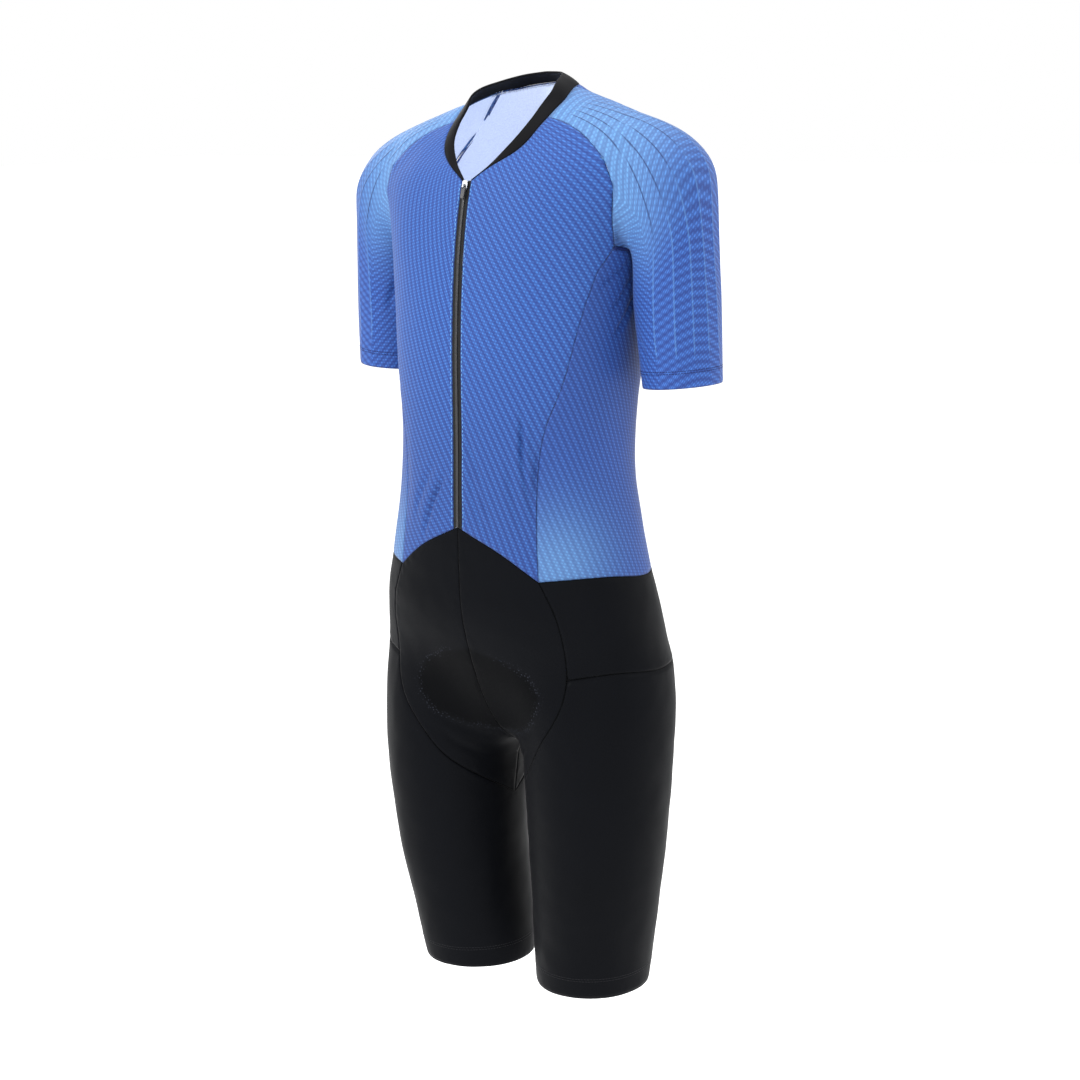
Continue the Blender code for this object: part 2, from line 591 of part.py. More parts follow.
def sleeve_grid(seams, angles):
    """Rows from the neck edge to the cuff. Columns run from the seam under the arm, forwards round it."""
    cuff = drape(cuff_points(np.radians(angles), np.full(len(angles), SLEEVE_END)), sleeve_field, 3)
    half = SIDE_COLUMNS // 2
    pit = seams["underarm"][half]
    shares = np.append(np.linspace(0.0, 1.0 - HEM_DEPTH / 0.145, CUFF_ROWS), 1.0)[1:, None]
    under = drape((1 - shares) * pit + shares * cuff[0], sleeve_field)
    left = np.concatenate([seams["raglan_front"], seams["underarm"][1:half + 1], under])
    right = np.concatenate([seams["raglan_back"], seams["underarm"][-2:half - 1:-1], under])
    grid = filled(left, right, seams["neck_side"], cuff)
    down = np.linspace(0.0, 1.0, len(left))[:, None]
    over = np.linspace(0.0, 1.0, len(angles))[None, :]
    bulge = 16.0 * down * (1.0 - down) * over * (1.0 - over)
    grid[..., 0] += SLEEVE_BULGE * bulge
    grid[..., 2] += 0.5 * SLEEVE_BULGE * bulge
    grid = settled(grid, sleeve_field, rounds=SLEEVE_ROUNDS, down=SLEEVE_DOWN)
    lift = grid[-3] - cuff
    grid[-2] = drape(cuff + HEM_DEPTH * lift / np.linalg.norm(lift, axis=1, keepdims=True), sleeve_field, 3)
    grid[-2, 0] = grid[-2, -1] = under[-2]
    return grid


def sleeve(seams, collection):
    turns, _ = np.array(SLEEVE_COLUMNS).T
    angles = np.concatenate([turns[::-1], -turns[1:]])
    grid = sleeve_grid(seams, angles)
    columns, ribs = [], []
    for index, angle in enumerate(angles):
        ribbed = abs(angle) in RIB_ANGLES
        here = grid[:, index]
        for side in (-1, 0, 1) if ribbed else (0,):
            beside = grid[:, index + side]
            away = np.linalg.norm(beside - here, axis=1, keepdims=True)
            share = RIB_FOOT / np.maximum(away, 2.2 * RIB_FOOT) if side else 0.0
            columns.append(here + share * (beside - here))
            ribs.append(1.0 if ribbed and side == 0 else 0.0)
    fine = np.stack(columns, axis=1)
    fine[1:, 1:-1] = drape(fine[1:, 1:-1], sleeve_field)
    fade = np.concatenate([[0.0], np.ones(len(fine) - 3), [0.3, 0.0]])
    proud = RIB_HEIGHT * fade[:, None] * np.array(ribs)
    thickness = np.full(proud.shape, CLOTH)
    thickness[-2:] = HEM_CLOTH
    half = SIDE_COLUMNS // 2
    pit = RAGLAN_ROWS + half
    direction = normals(fine, sleeve_field)
    facing = underarm_facing(seams["underarm"])
    direction[RAGLAN_ROWS:pit + 1, 0] = facing[:half + 1]
    direction[RAGLAN_ROWS:pit + 1, -1] = facing[:half - 1:-1]
    surface = inset(fine, ("left", "right", "bottom"), direction)
    surface[pit, 0, 1] -= 0.5 * SEAM_GAP
    surface[pit, -1, 1] += 0.5 * SEAM_GAP
    amount = np.zeros(len(fine))
    amount[RAGLAN_ROWS:pit + 1] = groove(SIDE_COLUMNS + 1)[:half + 1]
    for edge in ("left", "right"):
        direction = pinched(direction, fine, edge, amount)
    wall_pair("sleeve", surface, direction, "sleeve_knit", collection, False, thickness, proud)


def shorts(seams, collection):
    front_edges = (seams["centre_front"], seams["front_outer"], seams["waist_front"], seams["inseam"])
    front = settled(filled(*front_edges), body_field)
    cloth_pair("shorts_front", front, body_field, ("left", "right", "bottom", "top"), "black_lycra", collection)
    seat_edges = (seams["centre_back"], seams["back_outer"], seams["waist_back"][::-1], seams["inseam"])
    seat = settled(filled(*seat_edges), body_field)
    cloth_pair("seat", seat, body_field, ("left", "right", "bottom", "top"), "black_lycra", collection)
    hip = filled(seams["front_outer"][:HIP_ROWS + 1], seams["back_outer"][:HIP_ROWS + 1],
                 seams["waist_side"], seams["hip"])
    cloth_pair("hip", settled(hip, body_field), body_field, ("left", "right", "bottom", "top"),
               "black_lycra", collection)
    leg_panel(seams, collection)
    return front, seat


def leg_panel(seams, collection):
    loop = np.concatenate([seams["front_outer"][:HIP_ROWS - 1:-1], seams["hip"][1:],
                           seams["back_outer"][HIP_ROWS + 1:-1]])
    centre = np.array([LEG["across"](LEG_HEM_HEIGHT), LEG["along"](LEG_HEM_HEIGHT)])
    middle = np.array([LEG["across"](-0.70), LEG["along"](-0.70)])
    angles = np.unwrap(np.arctan2(loop[:, 1] - middle[1], loop[:, 0] - middle[0]))
    even = angles[0] + np.linspace(0, 2 * math.pi * np.sign(angles[-1] - angles[0]), len(loop) + 1)[:-1]
    angles = 0.4 * angles + 0.6 * even
    size = np.array([LEG["half_width"](LEG_HEM_HEIGHT), LEG["half_depth"](LEG_HEM_HEIGHT)])
    hem = np.column_stack([centre + size * np.column_stack([np.cos(angles), np.sin(angles)]),
                           np.full(len(loop), LEG_HEM_HEIGHT)])
    shares = np.append(np.linspace(0.0, 1.0 - LEG_HEM_DEPTH / 0.30, LEG_ROWS), 1.0)[:, None, None]
    grid = settled((1 - shares) * loop + shares * hem, body_field, closed=True, rounds=8)
    thickness = np.full(grid.shape[:2], CLOTH)
    thickness[-2:] = HEM_CLOTH
    cloth_pair("leg", grid, body_field, ("bottom",), "black_lycra", collection, True, thickness)


def mesh_normals(grid):
    """Normals of a grid's own surface."""
    facing = np.cross(np.gradient(grid, axis=1), np.gradient(grid, axis=0))
    return facing / np.linalg.norm(facing, axis=-1, keepdims=True)


def neck_binding(seams, collection):
    half_seam, half_edge = [], []
    for name in ("neck_front", "neck_side", "neck_back"):
        skip = 1 if half_seam else 0
        lengths = np.concatenate([[0.0], np.cumsum(np.linalg.norm(np.diff(seams[name], axis=0), axis=1))])
        half_seam.append(seams[name][skip:])
        half_edge.append(at_shares(smooth_line(BINDING_EDGES[name]), lengths / lengths[-1])[skip:])
    half_seam, half_edge = np.concatenate(half_seam), np.concatenate(half_edge)
    seam_line = np.concatenate([half_seam, mirrored(half_seam)[-2::-1]])
    edge_line = np.concatenate([half_edge, mirrored(half_edge)[-2::-1]])
    shares = np.linspace(0.0, 1.0, BINDING_ROWS)[:, None, None]
    grid = (1 - shares) * seam_line + shares * edge_line
    direction = mesh_normals(grid)
    panel = normals(seam_line, body_field)
    direction *= np.sign((direction[0] * panel).sum())
    width = np.linalg.norm(edge_line - seam_line, axis=1)[None, :, None]
    own = ramp(width, 0.003, 0.010) * np.minimum(2.0 * shares, 1.0)
    direction = own * direction + (1.0 - own) * panel
    direction /= np.linalg.norm(direction, axis=-1, keepdims=True)
    surface = inset(grid, ("bottom",), direction) + BINDING_BULGE * np.minimum(width / 0.015, 1.0) * (
        4.0 * shares * (1.0 - shares)) * direction
    wall("neck_binding", surface, surface - BINDING_CLOTH * direction, "black_binding", collection)


def zip_strip(name, line, sides, proud, thickness, material, collection):
    """A strip of the zip between two distances from the middle."""
    low, high = sides
    middle = 0.5 * (low + high)
    rows = []
    for x in (low, middle, high):
        column = line.copy()
        column[:, 0] = x
        column[0, 2] += (ZIP_HALF_WIDTH - abs(x)) / ZIP_HALF_WIDTH * (WAIST_PEAK[2] - ZIP_BOTTOM[2]) + SEAM_GAP
        rows.append(column)
    grid = np.stack(rows, axis=1)
    direction = normals(np.stack([line] * 3, axis=1), body_field)
    direction[..., 0] = 0.0
    outside = grid + proud * direction
    wall(name, outside, outside - thickness * direction, material, collection)


def zip_parts(seams, collection):
    line = seams["zip_edge"]
    side = ZIP_HALF_WIDTH - SEAM_GAP
    inner = CHAIN_HALF_WIDTH + SEAM_GAP
    zip_strip("zip_tape_left", line, (inner, side), -TAPE_SINK, TAPE_CLOTH, "black_tape", collection)
    zip_strip("zip_tape_right", line, (-side, -inner), -TAPE_SINK, TAPE_CLOTH, "black_tape", collection)
    chain = line.copy()
    lift = chain[-1] - chain[-2]
    chain[-1] -= CHAIN_DROP * lift / np.linalg.norm(lift)
    zip_strip("zip_chain", chain, (-CHAIN_HALF_WIDTH, CHAIN_HALF_WIDTH), CHAIN_PROUD, CHAIN_CLOTH,
              "black_plastic", collection)
    top = line[-1] * (0.0, 1.0, 1.0)
    upward = lift * (0.0, 1.0, 1.0)
    upward /= np.linalg.norm(upward)
    outward = np.array([0.0, -upward[2], upward[1]])
    slider_and_tab(top, upward, outward, collection)


def rounded_rectangle(middle, half_width, half_height, steps=16, power=4.0):
    angles = (np.arange(steps) + 0.5) * 2.0 * math.pi / steps
    across = np.sign(np.cos(angles)) * np.abs(np.cos(angles)) ** (2.0 / power)
    up = np.sign(np.sin(angles)) * np.abs(np.sin(angles)) ** (2.0 / power)
    return np.column_stack([middle[0] + half_width * across, middle[1] + half_height * up])


def slab(name, outline, hole, low, high, place, material, collection, parent=None):
    """A flat piece between two levels. Place turns its two flat directions and its level into space."""
    rings = [np.array(outline, float)] + ([] if hole is None else [np.array(hole, float)])
    size = len(rings[0])
    points = np.array([place(*at, level) for level in (low, high) for ring in rings for at in ring])
    after = [(step + 1) % size for step in range(size)]
    top = size * len(rings)
    faces = [[step, after[step], top + after[step], top + step] for step in range(size)]
    if hole is None:
        faces += [list(range(size))[::-1], [top + step for step in range(size)]]
    else:
        faces += [[size + after[step], size + step, top + size + step, top + size + after[step]]
                  for step in range(size)]
        faces += [[after[step], step, size + step, size + after[step]] for step in range(size)]
        faces += [[top + step, top + after[step], top + size + after[step], top + size + step]
                  for step in range(size)]
    first, second, third = points[0], points[1], points[top + 1]
    side = np.cross(second - first, third - first)
    if side @ (first - points[:size].mean(axis=0)) < 0:
        faces = [face[::-1] for face in faces]
    mesh = bpy.data.meshes.new(name)
    mesh.from_pydata(points.tolist(), [], faces)
    return add_object(name, mesh, material, collection, parent)


def joined(body, other):
    """Adds a hidden block to a body as one solid."""
    other.display_type = "WIRE"
    other.hide_render = True
    union = body.modifiers.new(other.name, "BOOLEAN")
    union.operation = "UNION"
    union.solver = "EXACT"
    union.object = other


def slider_and_tab(top, upward, outward, collection):
    """The slider at the top of the zip, and the tab that swings on its bridge."""
    def plate(x, up, out):
        return top + np.array([x, 0.0, 0.0]) + up * upward + out * outward

    def tab(x, up, out):
        return np.array([x, 0.0, 0.0]) + up * upward + out * outward

    centre = -0.5 * SLIDER_HEIGHT
    face = PLATE_FRONT + PLATE
    outline = rounded_rectangle((0.0, centre), SLIDER_HALF_WIDTH, 0.5 * SLIDER_HEIGHT)
    body = slab("zip_slider", outline, None, PLATE_FRONT, face, plate, "slider_metal", collection)
    back = slab("slider_back", outline, None, PLATE_BACK - PLATE, PLATE_BACK, plate, "slider_metal", collection)
    post_outline = ((-POST_HALF_WIDTH, -POST_HEIGHT), (POST_HALF_WIDTH, -POST_HEIGHT),
                    (POST_HALF_WIDTH, -SUNK), (-POST_HALF_WIDTH, -SUNK))
    post = slab("slider_post", post_outline, None, PLATE_BACK - SUNK, PLATE_FRONT + SUNK, plate,
                "slider_metal", collection)
    reach, inner = BRIDGE_HALF_LENGTH, BRIDGE_HALF_LENGTH - BRIDGE_BAR
    rise = face + BRIDGE_OPENING + BRIDGE_BAR
    arch = ((-reach, face - SUNK), (-reach, rise - 0.4 * BRIDGE_BAR), (-inner, rise), (inner, rise),
            (reach, rise - 0.4 * BRIDGE_BAR), (reach, face - SUNK), (inner, face - SUNK),
            (inner, face + BRIDGE_OPENING), (-inner, face + BRIDGE_OPENING), (-inner, face - SUNK))
    arch = [(HINGE_DROP + up, out) for up, out in arch]
    staple = slab("slider_bridge", arch, None, -BRIDGE_HALF_WIDTH, BRIDGE_HALF_WIDTH,
                  lambda up, out, x: plate(x, up, out), "slider_metal", collection)
    for block in (back, post, staple):
        joined(body, block)
    hinge = plate(0.0, HINGE_DROP, face + 0.5 * BRIDGE_OPENING)
    half_length = 0.5 * (TAB_LENGTH + TAB_BAR)
    window = rounded_rectangle((0.0, -0.5 * (TAB_BAR + TAB_WINDOW)), TAB_WINDOW_HALF_WIDTH, 0.5 * TAB_WINDOW)
    shape = rounded_rectangle((0.0, 0.5 * TAB_BAR - half_length), TAB_HALF_WIDTH, half_length)
    pull = slab("zip_pull_tab", shape, window, -0.5 * TAB, 0.5 * TAB, tab, "black_plastic", collection)
    pull.location = hinge


def seat_pad(front, seat, collection):
    """The pad inside the shorts, along the panels' own rows from the belly to the seat."""
    def row_at(grid, row, half_width):
        low = min(int(row), len(grid) - 2)
        line = grid[low] + (row - low) * (grid[low + 1] - grid[low])
        lengths = np.concatenate([[0.0], np.cumsum(np.linalg.norm(np.diff(line, axis=0), axis=1))])
        return at_shares(line, np.linspace(0.0, half_width, PAD_COLUMNS + 1) / lengths[-1])

    def first_row(grid, height):
        return np.interp(-height, -grid[:, 0, 2], np.arange(len(grid)))

    last = SHORTS_ROWS
    start, end = first_row(front, PAD_FRONT_TOP), first_row(seat, PAD_SEAT_TOP)
    steps = [(front, start)] + [(front, row) for row in range(math.ceil(start + 0.3), last + 1)]
    steps += [(seat, row) for row in range(last - 1, math.floor(end - 0.3), -1)] + [(seat, end)]
    middle = np.array([row_at(grid, row, 0.01)[0] for grid, row in steps])
    along = np.concatenate([[0.0], np.cumsum(np.linalg.norm(np.diff(middle, axis=0), axis=1))])
    along /= along[-1]
    widths = np.interp(along, *np.array(PAD_HALF_WIDTHS).T)
    half = np.array([row_at(grid, row, width) for (grid, row), width in zip(steps, widths)])
    grid = np.concatenate([mirrored(half)[:, :0:-1], half], axis=1)
    direction = normals(grid, body_field)
    across = np.abs(np.linspace(-1.0, 1.0, grid.shape[1]))
    fade = np.minimum(1.0, 5.0 * np.minimum(along, 1.0 - along))[:, None]
    thickness = PAD_RIM + (PAD_CLOTH - PAD_RIM) * (1.0 - across ** 2) * fade
    outside = grid - (CLOTH + PAD_GAP) * direction
    wall("seat_pad", outside, outside - thickness[..., None] * direction, "pad_foam", collection)


def neck_side():
    """The sleeve's neck edge, with a point for each of its columns."""
    _, shares = np.array(SLEEVE_COLUMNS).T
    line = drape(smooth_line(SEAM_POINTS["neck_side"]), body_field)
    return drape(at_shares(line, np.concatenate([0.5 - 0.5 * shares[::-1], 0.5 + 0.5 * shares[1:]])), body_field)


def underarm():
    """The seam along the top of the groove between a sleeve and the side."""
    line = np.array(SEAM_POINTS["underarm"])
    line[[0, -1]] = drape(line[[0, -1]], body_field)
    return even_samples(smooth_line(line), SIDE_COLUMNS)


def underarm_facing(line):
    """The seam's normals, from the cloth's own at its ends to straight down at its middle."""
    share = groove(len(line))[:, None] / GROOVE_PINCH
    ends = normals(line[[0, -1]], body_field)
    facing = (1.0 - share) * np.repeat(ends, [len(line) // 2, len(line) - len(line) // 2], axis=0)
    facing -= share * np.array([0.0, 0.0, 1.0])
    return facing / np.linalg.norm(facing, axis=1, keepdims=True)


def make_seams():
    """Every seam's shared points on the left side, the waist ends first."""
    seams = {
        "zip_edge": seam("zip_edge", BODY_ROWS),
        "neck_front": seam("neck_front", FRONT_COLUMNS),
        "neck_side": neck_side(),
        "neck_back": seam("neck_back", SHORTS_COLUMNS),
        "raglan_front": seam("raglan_front", RAGLAN_ROWS),
        "raglan_back": seam("raglan_back", RAGLAN_ROWS),
        "underarm": underarm(),
        "side_front": seam("side_front", SIDE_ROWS),
        "side_back": seam("side_back", SIDE_ROWS),
        "waist_side": seam("waist_side", SIDE_COLUMNS),
        "waist_back": seam("waist_back", SHORTS_COLUMNS),
        "waist_front": np.concatenate([drape([WAIST_PEAK], body_field), seam("waist_front", FRONT_COLUMNS)]),
        "centre_front": seam("centre_front", SHORTS_ROWS),
        "centre_back": seam("centre_back", SHORTS_ROWS),
        "inseam": seam("inseam", SHORTS_COLUMNS),
        "hip": seam("hip", SIDE_COLUMNS),
        "front_outer": split_seam("front_outer", HIP_FRONT, HIP_ROWS, SHORTS_ROWS - HIP_ROWS),
        "back_outer": split_seam("back_outer", HIP_BACK, HIP_ROWS, SHORTS_ROWS - HIP_ROWS),
    }
    return seams


def main():
    clear_scene()
    collection = bpy.data.collections.new("short_sleeve_aero_suit")
    bpy.context.scene.collection.children.link(collection)
    seams = make_seams()
    upper_body(seams, collection)
    sleeve(seams, collection)
    neck_binding(seams, collection)
    zip_parts(seams, collection)
    front, seat = shorts(seams, collection)
    seat_pad(front, seat, collection)


main()
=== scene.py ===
# Short-sleeve aero suit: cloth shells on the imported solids, their prints, sewing, zip and studio.
import math

import bmesh
import bpy
import numpy as np
from mathutils import Matrix, Vector, noise
from mathutils.bvhtree import BVHTree
from mathutils.kdtree import KDTree


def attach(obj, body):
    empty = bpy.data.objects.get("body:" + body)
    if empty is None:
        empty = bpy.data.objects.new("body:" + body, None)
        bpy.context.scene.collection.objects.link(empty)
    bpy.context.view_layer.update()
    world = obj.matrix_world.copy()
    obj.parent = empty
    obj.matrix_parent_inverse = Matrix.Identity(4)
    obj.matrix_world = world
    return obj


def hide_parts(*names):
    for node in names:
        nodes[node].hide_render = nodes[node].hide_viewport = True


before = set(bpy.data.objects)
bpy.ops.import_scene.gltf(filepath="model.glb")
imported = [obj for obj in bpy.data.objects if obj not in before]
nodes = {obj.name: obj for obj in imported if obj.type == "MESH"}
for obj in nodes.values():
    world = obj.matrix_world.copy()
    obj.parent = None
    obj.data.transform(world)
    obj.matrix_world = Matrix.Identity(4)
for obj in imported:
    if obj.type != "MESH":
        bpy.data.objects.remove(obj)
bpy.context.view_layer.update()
print("frame loaded")


# camera and studio
def unit(vector):
    return np.asarray(vector, float) / np.linalg.norm(vector)


view = {"azimuth": 36.0, "distance": 2.40, "aside": 0.012, "height": 0.035, "focal": 2200.0, "frame": 1080.0,
        "horizon": 467.0, "roll": -1.0}
turn = math.radians(view["azimuth"])
rightward = np.array([math.cos(turn), math.sin(turn), 0.0])
forward = np.array([-math.sin(turn), math.cos(turn), 0.0])
pitch = math.atan(view["horizon"] / view["focal"])
look = forward * math.cos(pitch) - np.array([0.0, 0.0, math.sin(pitch)])
upward = np.cross(rightward, look)
roll = math.radians(view["roll"])
side = rightward * math.cos(roll) + upward * math.sin(roll)
upward = upward * math.cos(roll) - rightward * math.sin(roll)
camera = bpy.data.objects.new("camera", bpy.data.cameras.new("camera"))
camera.data.sensor_width = 36.0
camera.data.lens = view["focal"] / view["frame"] * camera.data.sensor_width
camera.data.clip_end = 60.0
place = -view["distance"] * forward + view["aside"] * rightward + np.array([0.0, 0.0, view["height"]])
matrix = np.eye(4)
matrix[:3, 0], matrix[:3, 1], matrix[:3, 2], matrix[:3, 3] = side, upward, -look, place
camera.matrix_world = Matrix(matrix.tolist())
bpy.context.scene.collection.objects.link(camera)
bpy.context.scene.camera = camera


# materials
class Wire:                                     # a socket that adds Math nodes when it is calculated with
    def __init__(self, tree, socket=None):
        self.tree, self.socket = tree, socket

    def made(self, kind, settings, inputs, output=0):
        node = self.tree.nodes.new(kind)
        for name, value in settings.items():
            setattr(node, name, value)
        for name, value in inputs.items():
            if isinstance(value, Wire):
                self.tree.links.new(value.socket, node.inputs[name])
            else:
                node.inputs[name].default_value = value
        return Wire(self.tree, node.outputs[output])

    def math(self, operation, *values):
        return self.made("ShaderNodeMath", {"operation": operation}, dict(enumerate(values)))

    def __add__(self, other):
        return self.math("ADD", self, other)

    def __sub__(self, other):
        return self.math("SUBTRACT", self, other)

    def __rsub__(self, other):
        return self.math("SUBTRACT", other, self)

    def __mul__(self, other):
        return self.math("MULTIPLY", self, other)

    __radd__, __rmul__ = __add__, __mul__

    def fract(self):
        return self.math("FRACT", self)

    def floor(self):
        return self.math("FLOOR", self)

    def cosine(self):
        return self.math("COSINE", self)

    def between(self, low, high, start=0.0, end=1.0):
        settings = {"interpolation_type": "SMOOTHSTEP"}
        values = {"Value": self, "From Min": low, "From Max": high, "To Min": start, "To Max": end}
        return self.made("ShaderNodeMapRange", settings, values)

    def mix(self, first, second):               # colours, by this wire as the share of the second
        settings = {"data_type": "RGBA"}
        return self.made("ShaderNodeMix", settings, {0: self, 6: first, 7: second}, 2)

    def split(self):                            # the three numbers of a vector
        node = self.made("ShaderNodeSeparateXYZ", {}, {0: self}).socket.node
        return [Wire(self.tree, output) for output in node.outputs]


def colour(red, green, blue):                   # screen values from 0 to 255
    parts = [value / 255.0 for value in (red, green, blue)]
    return tuple(part / 12.92 if part <= 0.04045 else ((part + 0.055) / 1.055) ** 2.4 for part in parts) + (1.0,)


def toned(shade, share):                        # the same colour, darker or lighter
    return tuple(share * part for part in shade[:3]) + (1.0,)


def startMaterial(name, values):
    material = bpy.data.materials.new(name)
    material.use_nodes = True
    shader = material.node_tree.nodes["Principled BSDF"]
    for socket, value in values.items():
        shader.inputs[socket].default_value = value
    return material, shader, Wire(material.node_tree)


def attribute(start, name, output="Fac"):
    return start.made("ShaderNodeAttribute", {"attribute_name": name}, {}, output)


def texture(start, kind, scale, settings=(), output=0, **inputs):
    position = start.made("ShaderNodeNewGeometry", {}, {}, "Position")
    return start.made(kind, dict(settings), {"Vector": position, "Scale": scale, **inputs}, output)


def bump(start, shader, height, strength, depth):
    values = {"Strength": strength, "Distance": depth, "Height": height}
    normal = start.made("ShaderNodeBump", {}, values)
    start.tree.links.new(normal.socket, shader.inputs["Normal"])


def link(start, shader, name, wire):
    start.tree.links.new(wire.socket, shader.inputs[name])


knit = {"roughness": 0.62, "sheen": 0.06, "sheenRoughness": 0.45, "reflection": 0.28, "rowShift": 0.5,
        "dotHeight": 1.7, "dotRim": (0.02, 0.20), "dotInBand": 0.52, "dotBetween": 0.24, "band": 0.34,
        "speckScale": 900.0, "speck": 0.22, "ribCrest": (0.45, 0.95), "ribDark": (0.25, 0.6, 0.0, 0.75),
        "ribPale": (0.1, 0.45, 0.30, 0.0), "seam": (0.0002, 0.0013, 0.45, 0.0), "loopScale": 1300.0,
        "loops": 0.6, "raised": 0.5, "bump": 0.22, "bumpDepth": 0.0004, "roughRange": (0.0, 1.0, 0.68, 0.58)}


def printedKnit(name, ground, dash, paleGround, paleDash, deepGround):
    values = {"Roughness": knit["roughness"], "Sheen Weight": knit["sheen"],
              "Sheen Roughness": knit["sheenRoughness"], "Specular IOR Level": knit["reflection"]}
    material, shader, start = startMaterial(name, values)
    across, rows, along = attribute(start, "print", "Vector").split()
    edge, rib = attribute(start, "edge"), attribute(start, "rib")
    pale, deep = attribute(start, "pale"), attribute(start, "deep")
    shift = (rows.floor() * knit["rowShift"]).fract()
    fromRow = rows.fract() - 0.5
    fromDot = (along + shift).fract() - 0.5
    reach = fromRow * fromRow * knit["dotHeight"] + fromDot * fromDot
    band = (across * math.tau).cosine() * 0.5 + 0.5
    dot = reach.between(*knit["dotRim"], 1.0, 0.0)
    speck = texture(start, "ShaderNodeTexNoise", knit["speckScale"], Detail=2.0)
    mark = dot * (band * knit["dotInBand"] + knit["dotBetween"]) + band * knit["band"]
    # the pale share paints light onto the print and the deep share paints shade and a darker lower trunk
    field = deep.mix(pale.mix(ground, paleGround), deepGround)
    bright = deep.mix(pale.mix(dash, paleDash), ground)
    fabric = ((speck - 0.5) * knit["speck"] + mark).mix(field, bright)
    ribLine = rib.between(*knit["ribCrest"])
    fabric = (ribLine * pale.between(*knit["ribDark"])).mix(fabric, deepGround)
    fabric = (ribLine * pale.between(*knit["ribPale"])).mix(fabric, paleDash)
    fabric = edge.between(*knit["seam"]).mix(fabric, deepGround)
    link(start, shader, "Base Color", fabric)
    loops = texture(start, "ShaderNodeTexVoronoi", knit["loopScale"])
    bump(start, shader, loops * knit["loops"] + mark * knit["raised"], knit["bump"], knit["bumpDepth"])
    link(start, shader, "Roughness", mark.between(*knit["roughRange"]))
    return material


stretchCloth = {"sheen": 0.02, "sheenRoughness": 0.35, "reflection": 0.03, "weaveScale": 1500.0, "patchScale": 9.0,
                "lighter": 1.7, "darker": 0.30, "padShade": 0.7, "speckScale": 330.0, "speckTone": 9.0,
                "speckRim": (0.12, 0.34, 1.0, 0.0), "seam": (0.0002, 0.0012, 0.7, 0.0), "bump": 0.18}


def lycra(name, shade, rough):
    values = {"Sheen Weight": stretchCloth["sheen"], "Sheen Roughness": stretchCloth["sheenRoughness"],
              "Specular IOR Level": stretchCloth["reflection"]}
    material, shader, start = startMaterial(name, values)
    edge = attribute(start, "edge")
    rim, inside = attribute(start, "pale"), attribute(start, "deep")
    weave = texture(start, "ShaderNodeTexNoise", stretchCloth["weaveScale"], Detail=1.0)
    patch = texture(start, "ShaderNodeTexNoise", stretchCloth["patchScale"], Detail=2.0)
    lighter, darker = toned(shade, stretchCloth["lighter"]), toned(shade, stretchCloth["darker"])
    fabric = ((weave - 0.5) * 0.6 + patch * 0.7).mix(shade, lighter)
    # painted shade inside the pad's outline
    fabric = (inside * stretchCloth["padShade"]).mix(fabric, darker)
    specks = texture(start, "ShaderNodeTexVoronoi", stretchCloth["speckScale"])
    specks = specks.between(*stretchCloth["speckRim"]) * rim
    fabric = specks.mix(fabric, toned(shade, stretchCloth["speckTone"]))
    link(start, shader, "Base Color", edge.between(*stretchCloth["seam"]).mix(fabric, darker))
    link(start, shader, "Roughness", patch.between(0.3, 0.7, rough - 0.04, rough + 0.05))
    bump(start, shader, weave + specks, stretchCloth["bump"], 0.0003)
    return material


def plainCloth(name, shade, rough, scale, strength, paintedGlow=0.0):
    values = {"Specular IOR Level": 0.2, "Emission Color": shade, "Emission Strength": paintedGlow}
    material, shader, start = startMaterial(name, values)
    weave = texture(start, "ShaderNodeTexVoronoi", scale)
    link(start, shader, "Base Color", weave.between(0.1, 0.8).mix(shade, toned(shade, 0.72)))
    link(start, shader, "Roughness", weave.between(0.0, 1.0, rough - 0.05, rough + 0.05))
    bump(start, shader, weave, strength, 0.0003)
    return material


def hardMaterial(name, shade, rough, metal, scale):
    material, shader, start = startMaterial(name, {"Metallic": metal})
    grain = texture(start, "ShaderNodeTexNoise", scale, Detail=4.0)
    worn = tuple(min(1.0, 1.35 * part + 0.004) for part in shade[:3]) + (1.0,)
    link(start, shader, "Base Color", grain.between(0.45, 0.75).mix(shade, worn))
    link(start, shader, "Roughness", grain.between(0.3, 0.7, rough - 0.07, rough + 0.09))
    bump(start, shader, grain, 0.12, 0.0002)
    return material


royal, royalDash = colour(30, 55, 120), colour(54, 106, 180)
paleBlue, paleDash = colour(74, 108, 156), colour(94, 144, 196)
navy = colour(17, 31, 76)
looks = {
    "printed_knit": printedKnit("printed_knit_look", royal, royalDash, paleBlue, paleDash, navy),
    "side_knit": printedKnit("side_knit_look", royal, colour(50, 96, 172), paleBlue, paleDash, navy),
    "sleeve_knit": printedKnit("sleeve_knit_look", royal, colour(54, 102, 180), paleBlue, paleDash, navy),
    "black_lycra": lycra("black_lycra_look", colour(8, 9, 12), 0.50),
    "black_binding": lycra("black_binding_look", colour(16, 16, 18), 0.56),
    "black_tape": plainCloth("black_tape_look", colour(26, 26, 27), 0.72, 1400.0, 0.5),
    # the lining's emission is painted light: it lifts the shade inside the suit where no lamp reaches
    "lining": plainCloth("lining_look", colour(208, 218, 238), 0.75, 1300.0, 0.25, 0.42),
    "lycra_inside": plainCloth("lycra_inside_look", colour(34, 34, 38), 0.78, 1300.0, 0.25),
    "pad_foam": plainCloth("pad_foam_look", colour(34, 35, 40), 0.85, 700.0, 0.6),
    "black_plastic": hardMaterial("black_plastic_look", colour(28, 28, 30), 0.36, 0.0, 500.0),
    "slider_metal": hardMaterial("slider_metal_look", colour(150, 152, 156), 0.34, 1.0, 420.0),
    "pale_thread": plainCloth("pale_thread_look", colour(112, 170, 226), 0.6, 2600.0, 0.3),
    "navy_thread": plainCloth("navy_thread_look", colour(22, 34, 84), 0.6, 2600.0, 0.3),
    "black_thread": plainCloth("black_thread_look", colour(40, 40, 44), 0.55, 2600.0, 0.3),
    "white_thread": plainCloth("white_thread_look", colour(226, 232, 244), 0.6, 2600.0, 0.3),
}
